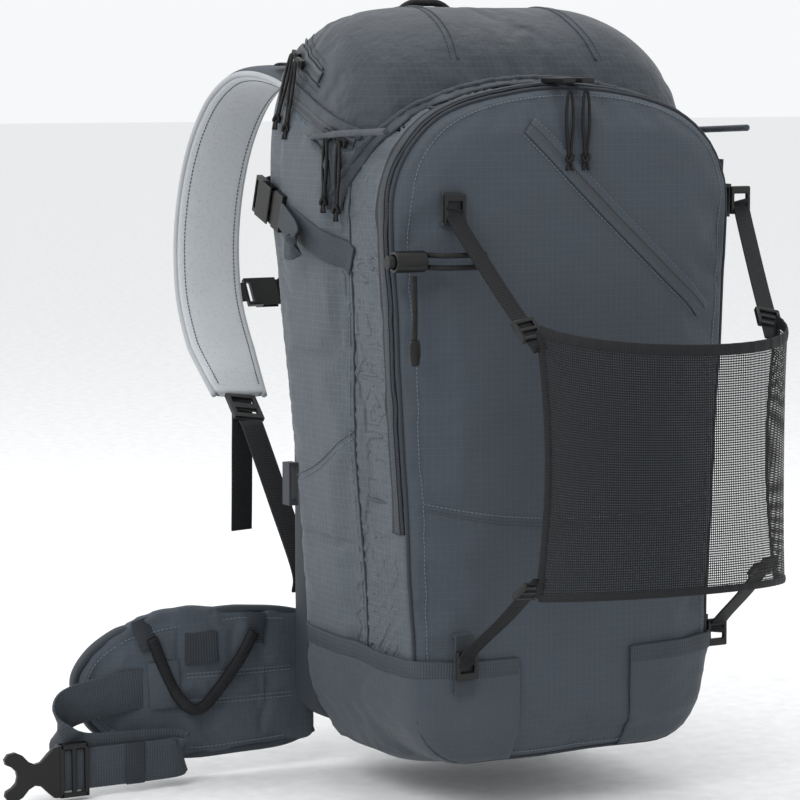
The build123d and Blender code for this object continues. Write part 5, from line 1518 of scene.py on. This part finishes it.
def net_at(u, v):
    """A bench point of the net: u from -1 to 1 across it, v from 0 at the foot to 1 at the top."""
    radius = (NET_HALF**2 + NET_BOW**2) / (2 * NET_BOW)
    half_angle = math.asin(NET_HALF / radius)
    angle = u * half_angle
    x = radius * math.sin(angle)
    y = NET_EDGE_Y - NET_BOW + radius * (1 - math.cos(angle))
    pinch = 1 - 0.075 * math.sin(math.pi * v) * abs(u) ** 3
    top = NET_TOP - 9 * (1 - u * u) + 3 * abs(u) ** 6
    foot = NET_LOW + 6 * (1 - u * u) ** 2 - 4 * abs(u) ** 4
    z = foot + (top - foot) * v
    sag = 3.0 * math.sin(math.pi * v) * (1 - u * u)
    return Vector((NET_X + x * pinch, y - sag * 0.6 + 1.2, z))


def build_net():
    """The stretched net with its bound edges, straps, hooks and adjusters."""
    columns, levels = 72, 56
    bm = bmesh.new()
    bmesh.ops.create_grid(bm, x_segments=columns, y_segments=levels, size=1.0)
    layer = bm.loops.layers.uv.new("strap")
    for face in bm.faces:
        for loop in face.loops:
            loop[layer].uv = (loop.vert.co.x * 0.138, loop.vert.co.y * 0.094)
    for vert in bm.verts:
        u, v = vert.co.x, (vert.co.y + 1) / 2
        gather = 0.7 * math.sin(u * 46) * math.exp(-((1 - v) / 0.16) ** 2)
        gather += 0.5 * math.sin(u * 38 + 1) * math.exp(-(v / 0.1) ** 2)
        point = net_at(u, v) + Vector((0, -gather, 0))
        vert.co = bench(*point)
    net = piece(bm, "holder_net", "net", "holder", ("helmet_net",))
    edges = {
        "net_hem_top": ([(u / 30 - 1, 1.0) for u in range(61)], 8.5),
        "net_hem_foot": ([(u / 30 - 1, 0.0) for u in range(61)], 5.5),
        "net_hem_left": ([(-1.0, v / 30) for v in range(31)], 6.0),
        "net_hem_right": ([(1.0, v / 30) for v in range(31)], 6.0),
    }
    for name, (marks, width) in edges.items():
        line = []
        for i, (u, v) in enumerate(marks):
            ruck = 0.6 * math.sin(i * 2.4) if "top" in name else 0.25 * math.sin(i * 2.9)
            line.append(bench(*(net_at(u, v) + Vector((0, ruck, 0)))))
        upright = "top" in name or "foot" in name
        across = Vector((0, 0, 1)) if upright else Vector((0.55 if "left" in name else -0.55, -0.83, 0))
        bound = sweep_bmesh(evenly(line, 0.002), across, lambda _,
                            w=width: pad_section(w / 2, 1.6, 0.4, 12), 12)
        piece(bound, name, "black_web", "holder")
    hooks = {"left_top": (-109, -151.6, 434), "left_low": (-99.1, -151.6, 92),
             "right_top": (162.6, -126.6, 434),
             "right_low": (143.9, -126.6, 92)}
    for place, (x, y, z) in hooks.items():
        side = -1 if place.startswith("left") else 1
        rise = 1 if place.endswith("top") else -1
        net_z = NET_TOP - 6 if rise > 0 else NET_LOW + 4
        corner = Vector((NET_X + side * (NET_HALF - 2), NET_EDGE_Y + 2, net_z - rise * 6))
        hook = Vector((x, y - 3.6, z - rise * 9))
        middle = corner.lerp(hook, 0.5) + Vector((0, 0.0, -2.0))
        line = [bench(*p) for p in (corner, corner.lerp(middle, 0.4), middle, hook,
                                    hook + Vector((0, 1.0, rise * 9)))]
        owned = ("holder_straps",) if place == "left_top" else ()
        strap(f"holder_strap_{place}", line, (1, 0, 0), 14 * MM, 1.5 * MM, "black_web", "holder",
              owned)
        near = corner.lerp(hook, 0.16)
        ahead = (hook - corner).normalized()
        block = bmesh.new()
        side_by = (Vector((1, 0, 0)) - ahead * ahead.x).normalized()
        turn = Matrix((side_by, ahead, side_by.cross(ahead))).transposed().to_4x4()
        turn.translation = bench(*near)
        for at, length in ((-7.5, 3.4), (0, 3.0), (7.5, 3.4)):
            bar = bmesh.ops.create_cube(block, size=1.0)["verts"]
            bmesh.ops.scale(block, verts=bar, vec=(19 * MM, length * MM, 4.4 * MM))
            bmesh.ops.translate(block, verts=bar, vec=(0, at * MM, 0))
        for sign in (-1, 1):
            bar = bmesh.ops.create_cube(block, size=1.0)["verts"]
            bmesh.ops.scale(block, verts=bar, vec=(3 * MM, 18 * MM, 4.4 * MM))
            bmesh.ops.translate(block, verts=bar, vec=(sign * 8.4 * MM, 0, 0))
        bmesh.ops.transform(block, matrix=turn, verts=block.verts)
        ladder = piece(block, f"holder_slider_{place}", "plastic", "holder", weld=False)
        modifier(ladder, "BEVEL", width=0.9 * MM, segments=3, limit_method="ANGLE")
    rounded("holder_hooks", "holder_hook_bodies", "plastic", "holder", 1.2)
    rounded("webbing_tabs", "webbing_tab_bodies", "tab_cloth", "bag", 0.5)
    rounded("axe_head_loop", "axe_head_loop_body", "tab_cloth", "bag", 0.6)


# ---------------------------------------------------------------- ice-axe holder and lifting loop
def build_axe_holder():
    """Cord lock, shaft bungee and its tail, and the lifting loop on the lid."""
    rounded("axe_lock", "axe_lock_body", "plastic", "bag", 1.3)
    rounded("axe_button", "axe_button_body", "plastic", "axe_button", 1.0)
    strands = []
    for z in (391.5, 400.5):
        line = [bench(*p) for p in ((-132.5, -150, z), (-129, -158, z), (-125, -165, z), (-112, -167.6, z),
                                    (-100, -167.6, z), (-90, -163, z), (-87.6, -152, z), (-87.8, -141, z))]
        owned = ("axe_bungee",) if not strands else ()
        strands.append(tube(f"axe_bungee_{'low' if not strands else 'high'}", line, 2.0 * MM, "cord", "bag",
                            owned, pitch=0.002))
    low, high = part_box("axe_tail")
    x, y = (low[0] + high[0]) / 2, (low[1] + high[1]) / 2
    route = [Vector((x, y, high[2])), Vector((x, y, high[2] - 0.012)),
             Vector((x + 0.0006, y, high[2] - 0.026)),
             Vector((x, y, high[2] - 0.049))]
    curve = bpy.data.curves.new("axe_tail_cord", "CURVE")
    curve.dimensions = "3D"
    curve.bevel_depth = 2.0 * MM
    curve.bevel_resolution = 4
    curve.resolution_u = 16
    spline = curve.splines.new("NURBS")
    spline.points.add(len(route) - 1)
    for control, at in zip(spline.points, route):
        control.co = (*at, 1.0)
    spline.order_u = 3
    spline.use_endpoint_u = True
    tail = bpy.data.objects.new("axe_tail_cord", curve)
    bpy.context.scene.collection.objects.link(tail)
    curve.materials.append(MATERIALS["cord"])
    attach(tail, "axe_tail")
    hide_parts("axe_tail")
    grip_foot = low[2]

    def grip_section(share):
        swell = 0.62 + 0.38 * math.sin(math.pi * min(1.0, 0.18 + share * 0.75))
        return pad_section(4.6 * swell, 5.4 * swell, 0.3, 16)

    bm = sweep_bmesh(evenly([Vector((x, y, grip_foot + 0.0205)), Vector((x, y, grip_foot + 0.0006))], 0.002),
                     Vector((1, 0, 0)), grip_section, 16)
    grip = piece(bm, "axe_tail_grip", "plastic", "axe_tail")
    modifier(grip, "SUBSURF", levels=1)
    low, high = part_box("grab_loop")
    y, half = (low[1] + high[1]) / 2, (high[0] - low[0]) / 2 - 3 * MM
    top = high[2] - 3 * MM
    foot = low[2]
    line = [Vector((-half, y, foot - 0.004)), Vector((-half * 0.99, y, foot + 0.014)),
            Vector((-half * 0.82, y, top - 0.010)),
            Vector((-half * 0.45, y, top - 0.001)), Vector((0, y, top)),
            Vector((half * 0.45, y, top - 0.001)),
            Vector((half * 0.82, y, top - 0.010)), Vector((half * 0.99, y, foot + 0.014)),
            Vector((half, y, foot - 0.004))]
    tube("grab_cord", line, 3.0 * MM, "cord", "grab_loop", ("grab_loop",), sides=12)


# ---------------------------------------------------------------- stage
CAMERA_AZIMUTH, CAMERA_RISE, CAMERA_AWAY = math.radians(-30), math.radians(6), 2.5
CAMERA_AIM_Z = 273.0  # bench height that the camera looks at, mm
CAMERA_LENS = 140.6
CAMERA_SHIFT = -0.1
FLOOR_REACH = 30.0
FLOOR_GAP = 0.002


def build_stage():
    """Pale floor, soft lights and the camera."""
    low, _ = CAD_BOX
    bm = bmesh.new()
    bmesh.ops.create_grid(bm, x_segments=2, y_segments=2, size=FLOOR_REACH)
    bmesh.ops.translate(bm, verts=bm.verts, vec=(0, 0, low[2] - FLOOR_GAP))
    floor = piece(bm, "floor", "floor", None, smooth=False)
    world = bpy.data.worlds.new("studio")
    bpy.context.scene.world = world
    world.use_nodes = True
    backdrop = world.node_tree.nodes["Background"]
    backdrop.inputs[0].default_value = (0.98, 0.99, 1.0, 1.0)
    backdrop.inputs[1].default_value = 0.95
    lights = (
        ("key", (-2.1, -1.3, 1.9), 30.0, 1.2),
        ("fill", (1.9, -1.7, 0.8), 5.0, 1.8),
        ("top", (0.2, 0.3, 2.3), 14.0, 1.4),
        ("rim", (-1.7, 1.2, 1.2), 12.0, 1.2),
    )
    for name, place, energy, size in lights:
        lamp = bpy.data.lights.new(name, "AREA")
        lamp.energy, lamp.size = energy, size
        shone = bpy.data.objects.new(name, lamp)
        bpy.context.scene.collection.objects.link(shone)
        shone.location = place
        shone.rotation_euler = (Vector((0, -0.12, 0.18)) - Vector(place)).to_track_quat("-Z", "Y").to_euler()
    camera = bpy.data.cameras.new("camera")
    view = bpy.data.objects.new("camera", camera)
    bpy.context.scene.collection.objects.link(view)
    level = math.cos(CAMERA_RISE)
    back = Vector((math.sin(CAMERA_AZIMUTH) * level, -math.cos(CAMERA_AZIMUTH) * level, math.sin(CAMERA_RISE)))
    view.location = bench(0, 0, CAMERA_AIM_Z) + back * CAMERA_AWAY
    view.rotation_mode = "QUATERNION"
    view.rotation_quaternion = (-back).to_track_quat("-Z", "Y")
    camera.lens = CAMERA_LENS
    camera.shift_x = CAMERA_SHIFT
    bpy.context.scene.camera = view
    bpy.context.scene.view_settings.view_transform = "Standard"


# ---------------------------------------------------------------- the add-on
def colour_property(name, description, default):
    """A colour that a user can change."""
    return bpy.props.FloatVectorProperty(
        name=name, description=description, default=default, subtype="COLOR", size=3, min=0.0, max=1.0
    )


class PackColours(bpy.types.PropertyGroup):
    """Colours of the cloth and webbing."""

    side_cloth: colour_property("Side cloth", "Ripstop of the sides and the gusset", (0.060, 0.073, 0.086))
    front_cloth: colour_property("Front cloth", "Heavy cloth of the face and the belt", (0.044, 0.055, 0.068))
    lid_cloth: colour_property("Lid cloth", "Ripstop of the lid", (0.026, 0.033, 0.042))
    base_cloth: colour_property("Base cloth", "Coated cloth of the base", (0.040, 0.050, 0.062))
    strap_mesh: colour_property("Strap mesh", "Spacer mesh inside the shoulder straps", (0.42, 0.44, 0.46))
    grey_webbing: colour_property("Webbing", "Grey webbing of the belt and side straps",
                                  (0.042, 0.050, 0.060))


class PACK_OT_shell(bpy.types.Operator):
    """Build the bag's cloth: tub, lid, base, gusset and face"""

    bl_idname = "pack.shell"
    bl_label = "Bag cloth"

    def execute(self, context):
        colours = context.scene.pack_colours
        make_materials(colours)
        build_shell()
        return {"FINISHED"}


class PACK_OT_zips(bpy.types.Operator):
    """Build the zips, their flaps, sliders and cord pulls"""

    bl_idname = "pack.zips"
    bl_label = "Zips and sliders"

    def execute(self, context):
        build_zips()
        build_sliders()
        return {"FINISHED"}


class PACK_OT_sides(bpy.types.Operator):
    """Build the compression straps, their buckles and the low side pockets"""

    bl_idname = "pack.sides"
    bl_label = "Side straps and pockets"

    def execute(self, context):
        build_side_straps()
        return {"FINISHED"}


class PACK_OT_harness(bpy.types.Operator):
    """Build the shoulder straps with their webbing and the chest strap"""

    bl_idname = "pack.harness"
    bl_label = "Shoulder harness"

    def execute(self, context):
        build_harness()
        return {"FINISHED"}


class PACK_OT_belt(bpy.types.Operator):
    """Build the hip fins, gear loops, belt webbing and buckle"""

    bl_idname = "pack.belt"
    bl_label = "Hip belt"

    def execute(self, context):
        build_belt()
        return {"FINISHED"}


class PACK_OT_back(bpy.types.Operator):
    """Build the back board, its pads and the frame inside"""

    bl_idname = "pack.back"
    bl_label = "Back panel"

    def execute(self, context):
        build_back()
        return {"FINISHED"}


class PACK_OT_net(bpy.types.Operator):
    """Build the helmet holder: net, hems, straps and hooks"""

    bl_idname = "pack.net"
    bl_label = "Helmet holder"

    def execute(self, context):
        build_net()
        return {"FINISHED"}


class PACK_OT_axe(bpy.types.Operator):
    """Build the ice-axe holder and the lifting loop"""

    bl_idname = "pack.axe"
    bl_label = "Ice-axe holder and loop"

    def execute(self, context):
        build_axe_holder()
        return {"FINISHED"}


class PACK_OT_stage(bpy.types.Operator):
    """Set the floor, lights and camera"""

    bl_idname = "pack.stage"
    bl_label = "Stage"

    def execute(self, context):
        build_stage()
        return {"FINISHED"}


class PACK_PT_panel(bpy.types.Panel):
    """Lists the colours and the pieces' operators"""

    bl_idname = "PACK_PT_panel"
    bl_label = "Ski backpack"
    bl_space_type = "VIEW_3D"
    bl_region_type = "UI"
    bl_category = "Ski backpack"

    def draw(self, context):
        colours = context.scene.pack_colours
        for name in PackColours.__annotations__:
            self.layout.prop(colours, name)
        for operator in OPERATORS:
            self.layout.operator(operator.bl_idname)


OPERATORS = (PACK_OT_shell, PACK_OT_zips, PACK_OT_sides, PACK_OT_harness, PACK_OT_belt, PACK_OT_back,
             PACK_OT_net,
             PACK_OT_axe, PACK_OT_stage)
CLASSES = (PackColours, *OPERATORS, PACK_PT_panel)


def register():
    """Registers the classes and the colours."""
    for kind in CLASSES:
        bpy.utils.register_class(kind)
    bpy.types.Scene.pack_colours = bpy.props.PointerProperty(type=PackColours)


def unregister():
    """Takes them away again."""
    del bpy.types.Scene.pack_colours
    for kind in reversed(CLASSES):
        bpy.utils.unregister_class(kind)


def main():
    """Builds every piece in order."""
    register()
    bpy.ops.pack.shell()
    bpy.ops.pack.zips()
    bpy.ops.pack.sides()
    bpy.ops.pack.harness()
    bpy.ops.pack.belt()
    bpy.ops.pack.back()
    bpy.ops.pack.net()
    bpy.ops.pack.axe()
    bpy.ops.pack.stage()


if __name__ == "__main__":
    main()
